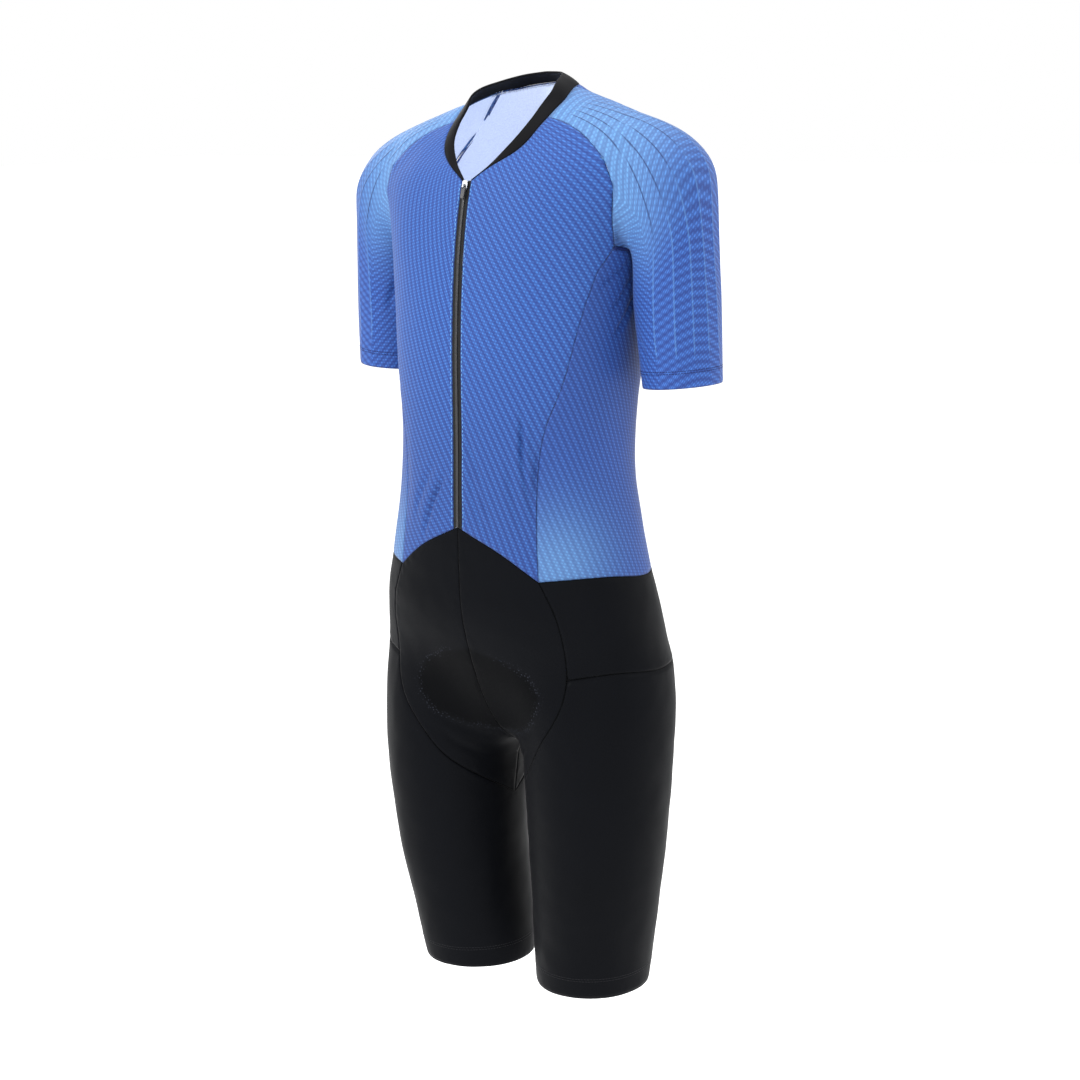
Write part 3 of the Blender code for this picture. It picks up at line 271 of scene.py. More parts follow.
print("materials made")

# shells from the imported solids
# middle lines of the trunk, shoulders, left leg and left arm, from which the outside of a wall is told
spine = ((0.0, -0.015, -0.64), (0.0, 0.012, -0.07))
fork = ((0.0, -0.015, -0.58), (0.0, -0.015, -0.60))
shoulders = ((-0.18, 0.012, -0.081), (0.18, 0.012, -0.081))
legLine = ((0.0985, -0.012, -0.72), (0.079, 0.0, -1.02))
armLine = ((0.180, 0.012, -0.081), (0.196, 0.014, -0.330))
shoulderHold = {"below": -0.10, "slope": 3.0}   # under this height the shoulders count as further away
outside = {"weld": 0.00002, "softEdge": 52.0, "firmEdge": 40.0, "firmness": 0.6, "ribRise": 0.0004, "ribGap": 0.0040,
           "bend": 24.0, "armpitAside": 0.115, "armpitHeights": (-0.20, -0.09), "flatQuad": 70.0, "skewQuad": 80.0}


def mirroredLine(line):
    return tuple((-point[0], point[1], point[2]) for point in line)


def awayFrom(points, lines, besideShoulders):
    best, bestGap = np.zeros_like(points), np.full(len(points), 9.0)
    for start, end in lines:
        span = np.subtract(end, start)
        share = np.clip((points - start) @ span / (span @ span), 0.0, 1.0)
        away = points - start - share[:, None] * span
        gap = np.linalg.norm(away, axis=1)
        if (start, end) == shoulders and not besideShoulders:
            gap = gap + shoulderHold["slope"] * np.maximum(0.0, shoulderHold["below"] - points[:, 2])
        nearer = gap < bestGap
        best[nearer], bestGap[nearer] = away[nearer], gap[nearer]
    return best / np.linalg.norm(best, axis=1, keepdims=True)


def linesOf(node):
    mirror = mirroredLine if node.endswith("right") else tuple
    if node.startswith("sleeve"):
        return [shoulders, mirror(armLine)]
    if node.startswith("leg"):
        return [fork, mirror(legLine)]
    if node.startswith(("shorts", "seat")):
        return [spine, mirror(legLine)]
    return [spine, shoulders] if node in ("back", "front_left", "front_right") else [spine]


def sides(shell):                               # groups of faces that meet at soft edges
    left, groups = set(shell.faces), []
    while left:
        group, front = [], [left.pop()]
        while front:
            face = front.pop()
            group.append(face)
            for edge in face.edges:
                if len(edge.link_faces) == 2 and edge.calc_face_angle() < math.radians(outside["softEdge"]):
                    for other in edge.link_faces:
                        if other in left:
                            left.remove(other)
                            front.append(other)
        groups.append(group)
    return groups


def outerFaces(node):                           # the outside of a wall, as quads, with the rib crests marked
    shell = bmesh.new()
    shell.from_mesh(nodes[node].data)
    bmesh.ops.remove_doubles(shell, verts=shell.verts, dist=outside["weld"])
    bmesh.ops.recalc_face_normals(shell, faces=shell.faces)
    best, bestOutward = None, 0.0
    for group in sides(shell):
        centres = np.array([face.calc_center_median() for face in group])
        facing = np.array([face.normal for face in group])
        areas = np.array([face.calc_area() for face in group])
        away = awayFrom(centres, linesOf(node), node.startswith("sleeve"))
        outward = ((facing * away).sum(axis=1) * areas).sum()
        if outward > bestOutward:
            best, bestOutward = set(group), outward
    bmesh.ops.delete(shell, geom=[face for face in shell.faces if face not in best], context="FACES")
    if not any(edge.is_boundary for edge in shell.edges):
        firm = shell.edges.layers.float.new("crease_edge")
        for edge in shell.edges:
            sharp = edge.calc_face_angle() > math.radians(outside["firmEdge"])
            edge[firm] = outside["firmness"] if sharp else 0.0
        print(node, "is kept as a closed body")
    if node.startswith("sleeve"):
        crest = shell.verts.layers.float.new("rib")
        shell.normal_update()
        for vertex in shell.verts:
            beside = sorted((edge.other_vert(vertex).co for edge in vertex.link_edges),
                            key=lambda spot: (spot - vertex.co).length)[:2]
            proud = (vertex.co - (beside[0] + beside[1]) / 2.0).dot(vertex.normal)
            close = (beside[1] - vertex.co).length < outside["ribGap"]
            vertex[crest] = 1.0 if proud > outside["ribRise"] and close else 0.0
    held = shell.verts.layers.float.new("crease_vert")
    low, high = outside["armpitHeights"]
    for vertex in shell.verts:
        rims = [edge.other_vert(vertex).co - vertex.co for edge in vertex.link_edges if edge.is_boundary]
        armpit = abs(vertex.co.x) > outside["armpitAside"] and low < vertex.co.z < high
        bent = len(rims) == 2 and rims[0].angle(-rims[1]) > math.radians(outside["bend"])
        vertex[held] = 1.0 if rims and (armpit or bent) else 0.0
    bmesh.ops.join_triangles(shell, faces=shell.faces, angle_face_threshold=math.radians(outside["flatQuad"]),
                             angle_shape_threshold=math.radians(outside["skewQuad"]))
    return shell


def evaluated(thing):
    graph = bpy.context.evaluated_depsgraph_get()
    return bpy.data.meshes.new_from_object(thing.evaluated_get(graph))


def subdivided(shell, name, levels):
    mesh = bpy.data.meshes.new(name)
    shell.to_mesh(mesh)
    shell.free()
    thing = bpy.data.objects.new(name, mesh)
    bpy.context.scene.collection.objects.link(thing)
    smooth = thing.modifiers.new("smooth", "SUBSURF")
    smooth.levels = smooth.render_levels = levels
    smooth.boundary_smooth = "PRESERVE_CORNERS"
    bpy.context.view_layer.update()
    thing.data = evaluated(thing)
    thing.modifiers.clear()
    return thing


def coordinates(mesh, kind="co"):
    values = np.zeros(len(mesh.vertices) * 3, np.float32)
    mesh.vertices.foreach_get(kind, values)
    return values.reshape(-1, 3).astype(float)


noEdge = 1.0                                    # the distance given where a piece is closed all round


def treeOf(spots):
    tree = KDTree(len(spots))
    for index, spot in enumerate(spots):
        tree.insert(spot, index)
    tree.balance()
    return tree


def edgeGaps(mesh, points):                     # distance from each point to the nearest edge of its piece
    counts = {}
    for face in mesh.polygons:
        for key in face.edge_keys:
            counts[key] = counts.get(key, 0) + 1
    rims = [key for key, count in counts.items() if count == 1]
    if not rims:
        return np.full(len(points), noEdge)
    samples = [points[a] + share * (points[b] - points[a]) for a, b in rims for share in (0.0, 0.25, 0.5, 0.75)]
    tree = treeOf(samples)
    return np.array([tree.find(point)[2] for point in points])


def smoothStep(values, start, end):
    share = np.clip((values - start) / (end - start), 0.0, 1.0)
    return share * share * (3.0 - 2.0 * share)


# creases: both ends, half width and depth in metres; a negative depth is a ridge
creases = (
    ((0.0745, -0.112, -0.318), (0.0865, -0.106, -0.425), 0.0034, 0.0026),
    ((0.0800, -0.112, -0.330), (0.0905, -0.106, -0.420), 0.0040, -0.0012),
    ((0.0915, -0.101, -0.345), (0.0885, -0.104, -0.416), 0.0032, 0.0020),
    ((0.060, -0.118, -0.365), (0.078, -0.112, -0.440), 0.0050, 0.0010),
    ((0.012, -0.126, -0.335), (0.036, -0.122, -0.392), 0.0036, 0.0009),
    ((0.010, -0.127, -0.360), (0.046, -0.122, -0.430), 0.0036, 0.0009),
    ((0.016, -0.127, -0.392), (0.040, -0.124, -0.445), 0.0036, 0.0008),
    ((-0.020, -0.127, -0.385), (-0.049, -0.124, -0.448), 0.0034, 0.0022),
    ((-0.034, -0.127, -0.372), (-0.066, -0.120, -0.430), 0.0048, 0.0010),
    ((0.147, -0.040, -0.128), (0.150, -0.022, -0.146), 0.0026, 0.0016),
    ((0.140, -0.034, -0.206), (0.146, -0.006, -0.176), 0.0030, 0.0018),
    ((0.139, -0.028, -0.234), (0.147, 0.004, -0.192), 0.0034, 0.0018),
    ((0.135, -0.050, -0.182), (0.145, -0.018, -0.160), 0.0030, 0.0015),
    ((-0.140, -0.034, -0.200), (-0.146, -0.006, -0.172), 0.0030, 0.0018),
    ((-0.139, -0.030, -0.228), (-0.147, 0.002, -0.188), 0.0034, 0.0016),
    ((0.140, 0.044, -0.176), (0.147, 0.012, -0.200), 0.0034, 0.0018),
    ((-0.140, 0.044, -0.180), (-0.147, 0.014, -0.206), 0.0034, 0.0018),
    ((-0.066, -0.097, -0.660), (-0.010, -0.052, -0.690), 0.0060, 0.0007),
    ((0.066, -0.097, -0.660), (0.014, -0.052, -0.692), 0.0060, 0.0007),
    ((-0.060, -0.088, -0.684), (-0.026, -0.060, -0.712), 0.0050, 0.0006),
    ((0.058, -0.088, -0.682), (0.028, -0.060, -0.714), 0.0050, 0.0006),
    ((0.070, 0.100, -0.668), (0.022, 0.072, -0.694), 0.0060, 0.0009),
    ((-0.068, 0.100, -0.670), (-0.022, 0.072, -0.696), 0.0060, 0.0009),
    ((0.100, 0.086, -0.690), (0.058, 0.082, -0.716), 0.0060, 0.0008),
    ((-0.104, 0.084, -0.694), (-0.060, 0.082, -0.714), 0.0060, 0.0008),
    ((0.024, 0.090, -0.372), (0.086, 0.080, -0.352), 0.0060, 0.0016),
    ((-0.020, 0.090, -0.384), (-0.092, 0.078, -0.360), 0.0060, 0.0018),
    ((0.018, 0.090, -0.410), (0.090, 0.076, -0.392), 0.0064, 0.0016),
    ((-0.030, 0.092, -0.428), (-0.096, 0.076, -0.412), 0.0060, 0.0014),
    ((0.064, 0.098, -0.100), (0.120, 0.076, -0.130), 0.0070, 0.0016),
    ((-0.060, 0.098, -0.104), (-0.118, 0.078, -0.136), 0.0070, 0.0016),
    ((0.160, -0.030, -0.236), (0.176, -0.034, -0.262), 0.0040, 0.0010),
    ((0.153, 0.030, -0.190), (0.164, 0.048, -0.228), 0.0044, 0.0016),
    ((-0.153, 0.030, -0.196), (-0.164, 0.048, -0.232), 0.0044, 0.0016),
    ((-0.156, -0.024, -0.186), (-0.166, -0.034, -0.222), 0.0040, 0.0014),
)


# how a crease is pressed: its gain, the fold and the ridges beside it, its bow and its ends
pressing = {"gain": 2.3, "fold": 1.30, "ridge": 0.30, "ridgeWidth": 2.4, "bow": 0.05, "past": 0.2, "farthest": 0.012}


def pressedIn(points):
    tree = treeOf(points)
    depth = np.zeros(len(points))
    used = 0
    first, last = -pressing["past"], 1.0 + pressing["past"]
    steps = np.linspace(first, last, 15)
    for start, end, halfWidth, deep in creases:
        span = np.subtract(end, start)
        found = [tree.find(np.array(start) + step * span) for step in steps]
        if np.median([gap for _, _, gap in found]) > pressing["farthest"]:
            continue
        used += 1
        bow = np.sin(3.0 * steps)[:, None] * pressing["bow"] * np.cross(span, (0.0, -1.0, 0.0))
        line = np.array([spot for spot, _, _ in found]) + bow
        line[1:-1] = (line[:-2] + 2.0 * line[1:-1] + line[2:]) / 4.0
        share = np.clip((points - start) @ span / (span @ span), first, last)
        on = np.column_stack([np.interp(share, steps, line[:, axis]) for axis in range(3)])
        ratio = np.linalg.norm(points - on, axis=1) / halfWidth
        fade = smoothStep(share, first, 0.35) * smoothStep(share, last, 0.6)
        fold = pressing["fold"] * np.exp(-ratio ** 2)
        ridge = pressing["ridge"] * np.exp(-(ratio / pressing["ridgeWidth"]) ** 2)
        depth += pressing["gain"] * deep * fade * (fold - ridge)
    print("creases", used, "deepest %.4f" % depth.max())
    return depth


# soft waves all over, the seam's rolled edge, and the small puckers beside it
wrinkles = {"rollWidth": 0.0016, "waveScale": 16.0, "ripple": 0.4, "rippleScale": 47.0, "puckerWidth": 0.007,
            "pucker": 0.0007, "puckerScale": 150.0, "edgeHold": 0.006}


def shaped(mesh, roll, waves):                  # the first points and their gaps to the edge are kept
    points, facing = coordinates(mesh), coordinates(mesh, "normal")
    gaps = edgeGaps(mesh, points)
    inward = pressedIn(points) * smoothStep(gaps, -0.001, 0.004)
    inward += roll * np.exp(-(gaps / wrinkles["rollWidth"]) ** 2)
    near = np.exp(-(gaps / wrinkles["puckerWidth"]) ** 2) * smoothStep(gaps, 0.0, 0.002)
    for index, point in enumerate(points):
        spot = Vector(point)
        inward[index] += waves * noise.noise(spot * wrinkles["waveScale"])
        inward[index] += wrinkles["ripple"] * waves * noise.noise(spot * wrinkles["rippleScale"])
        inward[index] += wrinkles["pucker"] * near[index] * noise.noise(spot * wrinkles["puckerScale"])
    fade = smoothStep(gaps, 0.0, wrinkles["edgeHold"])
    inward = np.where(inward > 0, inward, inward * fade)
    mesh.vertices.foreach_set("co", (points - inward[:, None] * facing).ravel())
    mesh.update()
    return points, gaps


# the trunk's bands: what each adds for a step round the body, up it, and for both together
trunk = {"radius": 0.14, "axis": -0.015, "band": 0.0080, "row": 0.0033, "dot": 0.0039, "rowRise": 0.22,
         "dotRise": 0.12,
         "left": {"around": 0.603, "both": -0.470, "aroundSquared": 0.835, "height": 0.792, "heightSquared": 0.39},
         "right": {"around": 1.03, "both": 0.78, "aroundSquared": 0.0, "height": 0.175, "heightSquared": -0.625}}


def trunkPrint(points, back):                   # phases of the bands and of the dashes along them
    x, y, z = points.T
    depth = y - trunk["axis"]
    around = trunk["radius"] * np.arctan2(x, depth if back else -depth)
    slopes = [bend["around"] * around + bend["both"] * around * z + bend["aroundSquared"] * around ** 2
              + bend["height"] * z + bend["heightSquared"] * z ** 2 for bend in (trunk["left"], trunk["right"])]
    bands = np.where(around >= 0, slopes[0], slopes[1]) / trunk["band"]
    rows = (z + trunk["rowRise"] * np.abs(around)) / trunk["row"]
    return bands, rows, (around + trunk["dotRise"] * z) / trunk["dot"]


# the sleeve's middle line, bent over the shoulder
sleevePath = np.array([(0.040, 0.012, -0.082), (0.090, 0.012, -0.078), (0.130, 0.012, -0.080), (0.158, 0.012, -0.092),
                       (0.176, 0.012, -0.116), (0.184, 0.013, -0.150), (0.188, 0.013, -0.200), (0.192, 0.013, -0.250),
                       (0.196, 0.014, -0.330)])


sleeveBands = {"steps": 240, "smooth": 15, "radius": 0.052, "fall": (0.10, 0.24), "slant": 0.10, "moreSlant": 0.36,
               "bow": 2.2, "band": 0.0088, "row": 0.0035, "dot": 0.0040}


def alongPath(path, steps):
    share = np.linspace(0.0, len(path) - 1.0, steps)
    return np.column_stack([np.interp(share, range(len(path)), values) for values in path.T])


def sleevePrint(points, node):
    mirror = np.array([-1.0 if node.endswith("right") else 1.0, 1.0, 1.0])
    line = alongPath(sleevePath, sleeveBands["steps"])
    reach = sleeveBands["smooth"]
    kernel = np.hanning(2 * reach + 1) / np.hanning(2 * reach + 1).sum()
    padded = np.vstack([np.repeat(line[:1], reach, 0), line, np.repeat(line[-1:], reach, 0)])
    line = np.column_stack([np.convolve(padded[:, axis], kernel, "valid") for axis in range(3)])
    tangent = np.gradient(line, axis=0)
    tangent /= np.linalg.norm(tangent, axis=1, keepdims=True)
    lengths = np.concatenate([[0.0], np.cumsum(np.linalg.norm(np.diff(line, axis=0), axis=1))])
    bent = np.arctan2(-tangent[:, 2], tangent[:, 0])
    local = points * mirror
    nearest = np.linalg.norm(local[:, None, :] - line[None, :, :], axis=2).argmin(axis=1)
    way = tangent[nearest]
    away = local - line[nearest]
    past = (away * way).sum(axis=1)
    outward = away[:, 0] * -way[:, 2] + away[:, 2] * way[:, 0]
    along = lengths[nearest] + past + (bent[nearest] - bent[0]) * np.maximum(outward, 0.0)
    around = sleeveBands["radius"] * np.arctan2(-away[:, 1], outward)
    fall = smoothStep(along, *sleeveBands["fall"])
    slant = sleeveBands["slant"] + sleeveBands["moreSlant"] * fall
    bands = along + around * slant + sleeveBands["bow"] * fall * around ** 2
    return bands / sleeveBands["band"], along / sleeveBands["row"], around / sleeveBands["dot"], along


def setAttributes(mesh, phases, gaps, pale, deep):
    values = np.column_stack(phases)
    mesh.attributes.new("print", "FLOAT_VECTOR", "POINT").data.foreach_set("vector", values.ravel())
    for name, shares in (("edge", gaps), ("pale", pale), ("deep", deep)):
        mesh.attributes.new(name, "FLOAT", "POINT").data.foreach_set("value", shares)


# the pad's edge as it shows through the front of the shorts, from the middle to the fork
padEdge = np.array([(0.0, -0.573), (0.042, -0.583), (0.070, -0.598), (0.083, -0.620), (0.077, -0.642),
                    (0.063, -0.660), (0.030, -0.674), (0.0, -0.678)])
padShow = {"steps": 160, "rimFrom": 16, "middle": -0.626, "rimWidth": 0.0040, "soft": (-0.002, 0.004),
           "front": (0.02, 0.05)}


def padMarks(points):                           # its speckled rim, and the painted shade inside it
    spots = np.column_stack([np.abs(points[:, 0]), points[:, 2]])
    line = alongPath(padEdge, padShow["steps"])
    gap = np.linalg.norm(spots[:, None, :] - line[None, padShow["rimFrom"]:, :], axis=2).min(axis=1)
    middle = np.array([0.0, padShow["middle"]])
    angle = np.arctan2(spots[:, 1] - middle[1], spots[:, 0])
    lineAngle = np.arctan2(line[:, 1] - middle[1], line[:, 0])
    reach = np.interp(-angle, -lineAngle, np.linalg.norm(line - middle, axis=1))
    inside = smoothStep(reach - np.linalg.norm(spots - middle, axis=1), *padShow["soft"])
    front = smoothStep(-points[:, 1], *padShow["front"])
    return front * np.exp(-(gap / padShow["rimWidth"]) ** 2), front * inside


# the turned edge's two steps: how deep each goes, and how far under the next piece; a hem goes half back
turnSteps = ({"depth": 0.0006, "reach": 0.0}, {"depth": 0.0013, "reach": 0.0006})
hemBack = -0.5
noHem = -9.0                                    # a height under the whole suit


def turnEdges(mesh, turned):                    # seam allowances under the next piece, and hems turned back
    shell = bmesh.new()
    shell.from_mesh(mesh)
    shell.normal_update()
    rims = [edge for edge in shell.edges if edge.is_boundary]
    outward = {}
    for edge in rims:
        face = edge.link_faces[0]
        along = (edge.verts[1].co - edge.verts[0].co).normalized()
        way = along.cross(face.normal)
        if way.dot((edge.verts[0].co + edge.verts[1].co) / 2.0 - face.calc_center_median()) < 0:
            way = -way
        for vertex in edge.verts:
            outward[vertex] = outward.get(vertex, Vector()) + way
    for step in turnSteps:
        spots = {vertex: (vertex.normal.copy(), outward[vertex].normalized()) for vertex in outward}
        made = bmesh.ops.extrude_edge_only(shell, edges=rims)["geom"]
        rims = [part for part in made if isinstance(part, bmesh.types.BMEdge) and part.is_boundary]
        fresh = {vertex for edge in rims for vertex in edge.verts}
        for part in made:
            if isinstance(part, bmesh.types.BMFace):
                part.material_index = 2
        old = list(spots)
        tree = treeOf([vertex.co for vertex in old])
        outward = {}
        for vertex in fresh:
            normal, way = spots[old[tree.find(vertex.co)[1]]]
            outward[vertex] = way
            back = hemBack if vertex.co.z < turned else 1.0
            vertex.co += way * step["reach"] * back - normal * step["depth"]
        shell.normal_update()
        for vertex in fresh:
            vertex.normal = spots[old[tree.find(vertex.co)[1]]][0]
    shell.to_mesh(mesh)
    shell.free()


shells = {}
# where the paler and deeper tones begin and end, in metres: painted light on the sleeve caps, painted shade under the
# arms and on the flanks, the trunk darker towards the bottom and a paler spot at each side panel's lower front corner
tones = {"litCap": (0.10, 0.235), "capBehind": 0.70, "capTurn": (-0.03, 0.03), "underArmShade": 0.7,
         "armpit": (-0.158, -0.146), "armpitDown": (0.10, 0.15), "chest": 0.28, "chestDown": (0.20, 0.42),
         "corner": (0.106, -0.100, -0.478), "cornerSize": 0.062, "flankShade": 0.18, "flankMore": 0.57,
         "flankBack": (-0.035, 0.045), "flankMiddle": 0.26, "flankEnds": (-0.22, -0.06)}


def printOf(node, points):                      # phases of the print, and the paler and deeper places laid over it, painted light and painted shade among them
    x, y, z = points.T
    pale, deep = np.zeros(len(points)), np.zeros(len(points))
    phases = (pale, pale, pale)
    if node.startswith("sleeve"):
        *phases, along = sleevePrint(points, node)
        # the sleeve cap is painted paler: painted light on the top of the shoulder, stronger at the front than behind
        pale = 1.0 - smoothStep(along, *tones["litCap"])
        pale *= tones["capBehind"] + (1.0 - tones["capBehind"]) * smoothStep(-y, *tones["capTurn"])
        # painted shade under the arm, by the armpit
        deep = tones["underArmShade"] * smoothStep(-np.abs(x), *tones["armpit"]) * smoothStep(-z, *tones["armpitDown"])
    elif node.startswith(("front", "side", "back")):
        phases = trunkPrint(points, node == "back")
        # the trunk is painted darker towards the bottom
        deep = tones["chest"] * smoothStep(-z, *tones["chestDown"])
        if node.startswith("side"):
            corner = tones["corner"] * np.array([1.0 if node.endswith("left") else -1.0, 1.0, 1.0])
            # a paler spot at the side panel's lower front corner
            pale = np.exp(-(np.linalg.norm(points - corner, axis=1) / tones["cornerSize"]) ** 2)
            middle = smoothStep(-np.abs(z + tones["flankMiddle"]), *tones["flankEnds"])
            # painted shade on the side panel, deeper towards the back at middle height
            deep = tones["flankShade"] + tones["flankMore"] * smoothStep(y, *tones["flankBack"]) * middle
    elif node.startswith(("shorts", "leg")):
        pale, deep = padMarks(points)
    return phases, pale, deep


def clothPiece(node, details):
    thing = subdivided(outerFaces(node), node + "_cloth", details["levels"])
    mesh = thing.data
    points, gaps = shaped(mesh, details.get("roll", 0.0005), details.get("waves", 0.0006))
    phases, pale, deep = printOf(node, points)
    setAttributes(mesh, phases, gaps, pale, deep)
    mesh.materials.clear()
    outer, inner = looks[details["slot"]], looks[details["inside"]]
    for look in (outer, inner, outer, outer):   # outside, inside, and both sides of the turned edges
        mesh.materials.append(look)
    if "turned" in details:
        turnEdges(mesh, details["turned"])
    mesh.shade_smooth()
    shells[node] = BVHTree.FromPolygons([Vector(v.co) for v in mesh.vertices], [p.vertices for p in mesh.polygons])
    if gaps.min() < noEdge:
        thick = thing.modifiers.new("thickness", "SOLIDIFY")
        thick.thickness = details["thickness"]
        thick.offset = -1.0
        thick.material_offset = 1
        thick.material_offset_rim = 0
    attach(thing, "suit")
    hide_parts(node)
    surface = sum(face.area for face in mesh.polygons)
    print(node, "surface %.4f" % surface, "faces", len(mesh.polygons))
    return thing


upperPiece = {"inside": "lining", "levels": 3, "thickness": 0.0010, "turned": noHem}
front = {**upperPiece, "slot": "printed_knit", "flat": (0.150, 0.480), "area": 0.047}
sidePiece = {**upperPiece, "slot": "side_knit", "flat": (0.200, 0.360), "area": 0.058}
backPiece = {**upperPiece, "slot": "printed_knit", "flat": (0.310, 0.530), "area": 0.116}
sleevePiece = {**upperPiece, "slot": "sleeve_knit", "levels": 2, "turned": -0.265, "flat": (0.280, 0.330),
               "area": 0.075, "waves": 0.0004}
lowerPiece = {"slot": "black_lycra", "inside": "lycra_inside", "levels": 3, "thickness": 0.0010, "turned": noHem,
              "waves": 0.0009}
frontShorts = {**lowerPiece, "flat": (0.125, 0.330), "area": 0.0287}
seatShorts = {**lowerPiece, "flat": (0.125, 0.270), "area": 0.0240}
hipPiece = {**lowerPiece, "flat": (0.215, 0.115), "area": 0.022}
legPiece = {**lowerPiece, "turned": -0.955, "flat": (0.460, 0.370), "area": 0.1375, "waves": 0.0010}
binding = {"slot": "black_binding", "inside": "black_binding", "levels": 2, "thickness": 0.0018,
           "flat": (0.440, 0.022), "area": 0.0062, "roll": 0.0003, "waves": 0.0002}
tape = {"slot": "black_tape", "inside": "black_tape", "levels": 2, "thickness": 0.0008, "roll": 0.0, "waves": 0.0}
pairs = {"front": front, "side": sidePiece, "sleeve": sleevePiece, "shorts_front": frontShorts, "seat": seatShorts,
         "hip": hipPiece, "leg": legPiece, "zip_tape": tape}
cut = {name + "_" + hand: details for name, details in pairs.items() for hand in ("left", "right")}
cut.update({"back": backPiece, "neck_binding": binding})
cloths = {node: clothPiece(node, details) for node, details in cut.items()}
print("cloth shells made")


# sewing: short rounded stitches along a line of points
def onShell(start, direction, names, lift=0.0):
    best = None
    for name in names:
        spot, facing, _, gap = shells[name].ray_cast(Vector(start), Vector(direction))
        if spot is not None and (best is None or gap < best[2]):
            best = (np.array(spot), np.array(facing), gap)
    if best is None:
        return None
    facing = best[1] * (-1.0 if np.dot(best[1], direction) > 0 else 1.0)
    return best[0] + lift * facing, facing


def stitches(name, line, length, gap, radius, look):   # line holds spots with their normals
    spots = np.array([spot for spot, _ in line])
    faces = np.array([facing for _, facing in line])
    lengths = np.concatenate([[0.0], np.cumsum(np.linalg.norm(np.diff(spots, axis=0), axis=1))])

    def at(values, where):
        return np.array([np.interp(where, lengths, values[:, axis]) for axis in range(3)])

    verts, polygons = [], []
    ring = 6
    for start in np.arange(0.0, lengths[-1] - length, length + gap):
        profile = ((0.0, 0.25), (0.18, 0.8), (0.5, 1.0), (0.82, 0.8), (1.0, 0.25))
        base = len(verts)
        for share, width in profile:
            here = at(spots, start + share * length)
            ahead = unit(at(spots, start + length) - at(spots, start))
            out = unit(at(faces, start + share * length))
            across = np.cross(ahead, out)
            for step in range(ring):
                angle = 2.0 * math.pi * step / ring
                verts.append(here + radius * width * (math.cos(angle) * across + 0.8 * math.sin(angle) * out))
        for level in range(len(profile) - 1):
            for step in range(ring):
                after = (step + 1) % ring
                polygons.append([base + level * ring + step, base + level * ring + after,
                                 base + (level + 1) * ring + after, base + (level + 1) * ring + step])
        polygons.append([base + step for step in range(ring)][::-1])
        polygons.append([base + (len(profile) - 1) * ring + step for step in range(ring)])
    return addMesh(name, verts, polygons, look)


def addMesh(name, verts, polygons, look, body="suit"):
    mesh = bpy.data.meshes.new(name)
    mesh.from_pydata([tuple(map(float, vert)) for vert in verts], [], polygons)
    mesh.materials.append(looks[look])
    mesh.shade_smooth()
    thing = bpy.data.objects.new(name, mesh)
    bpy.context.scene.collection.objects.link(thing)
    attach(thing, body)
    return thing


sewnOn = {}
zipSewing = {"aside": 0.0074, "top": -0.0750, "bottom": -0.4360, "step": 0.003, "length": 0.0030, "gap": 0.0016,
             "radius": 0.00048, "look": "pale_thread", "slot": "printed_knit"}
cuffSewing = {"bottom": -0.2835, "rises": (0.0108, 0.0132), "tilt": 0.08, "arm": 0.043, "degrees": 3.0, "clear": 0.09,
              "length": 0.0026, "gap": 0.0006, "radius": 0.00034, "look": "navy_thread", "slot": "sleeve_knit"}
hemSewing = {"heights": (-0.9480, -0.9508), "middle": (0.082, -0.003), "degrees": 2.5, "clear": 0.13,
             "length": 0.0026, "gap": 0.0008, "radius": 0.00024, "look": "black_thread", "slot": "black_lycra"}
threadLift = 0.0001                             # how far a thread's middle stands over the cloth


def sewn(name, found, details, node):           # a row of stitches through the places that were found on a piece
    line = [place for place in found if place is not None]
    row = stitches(name, line, details["length"], details["gap"], details["radius"], details["look"])
    sewnOn.setdefault(node, []).append(row)


for hand, sign in (("left", 1.0), ("right", -1.0)):
    node = "front_" + hand
    heights = np.arange(zipSewing["bottom"], zipSewing["top"], zipSewing["step"])
    found = [onShell((sign * zipSewing["aside"], -0.3, z), (0.0, 1.0, 0.0), [node], threadLift) for z in heights]
    sewn("zip_stitching_" + hand, found, zipSewing, node)
    sewnOn[node].append(cloths["zip_tape_" + hand])

for hand, sign in (("left", 1.0), ("right", -1.0)):
    for index, rise in enumerate(cuffSewing["rises"]):
        node, found = "sleeve_" + hand, []
        for angle in np.radians(np.arange(0.0, 361.0, cuffSewing["degrees"])):
            z = cuffSewing["bottom"] + rise + cuffSewing["tilt"] * cuffSewing["arm"] * math.cos(angle)
            share = (armLine[0][2] - z) / (armLine[0][2] - armLine[1][2])
            centre = np.array(armLine[0]) + share * np.subtract(armLine[1], armLine[0])
            out = np.array([sign * math.cos(angle), math.sin(angle), 0.0])
            start = centre * (sign, 1.0, 1.0) + cuffSewing["clear"] * out
            found.append(onShell(start, -out, [node], threadLift))
        sewn("cuff_stitching_%s_%d" % (hand, index), found, cuffSewing, node)
    for index, z in enumerate(hemSewing["heights"]):
        node, found = "leg_" + hand, []
        aside, behind = hemSewing["middle"]
        for angle in np.radians(np.arange(0.0, 361.0, hemSewing["degrees"])):
            out = np.array([math.cos(angle), math.sin(angle), 0.0])
            start = np.array([sign * aside, behind, z]) + hemSewing["clear"] * out
            found.append(onShell(start, -out, [node], threadLift))
        sewn("hem_stitching_%s_%d" % (hand, index), found, hemSewing, node)
print("sewing made")

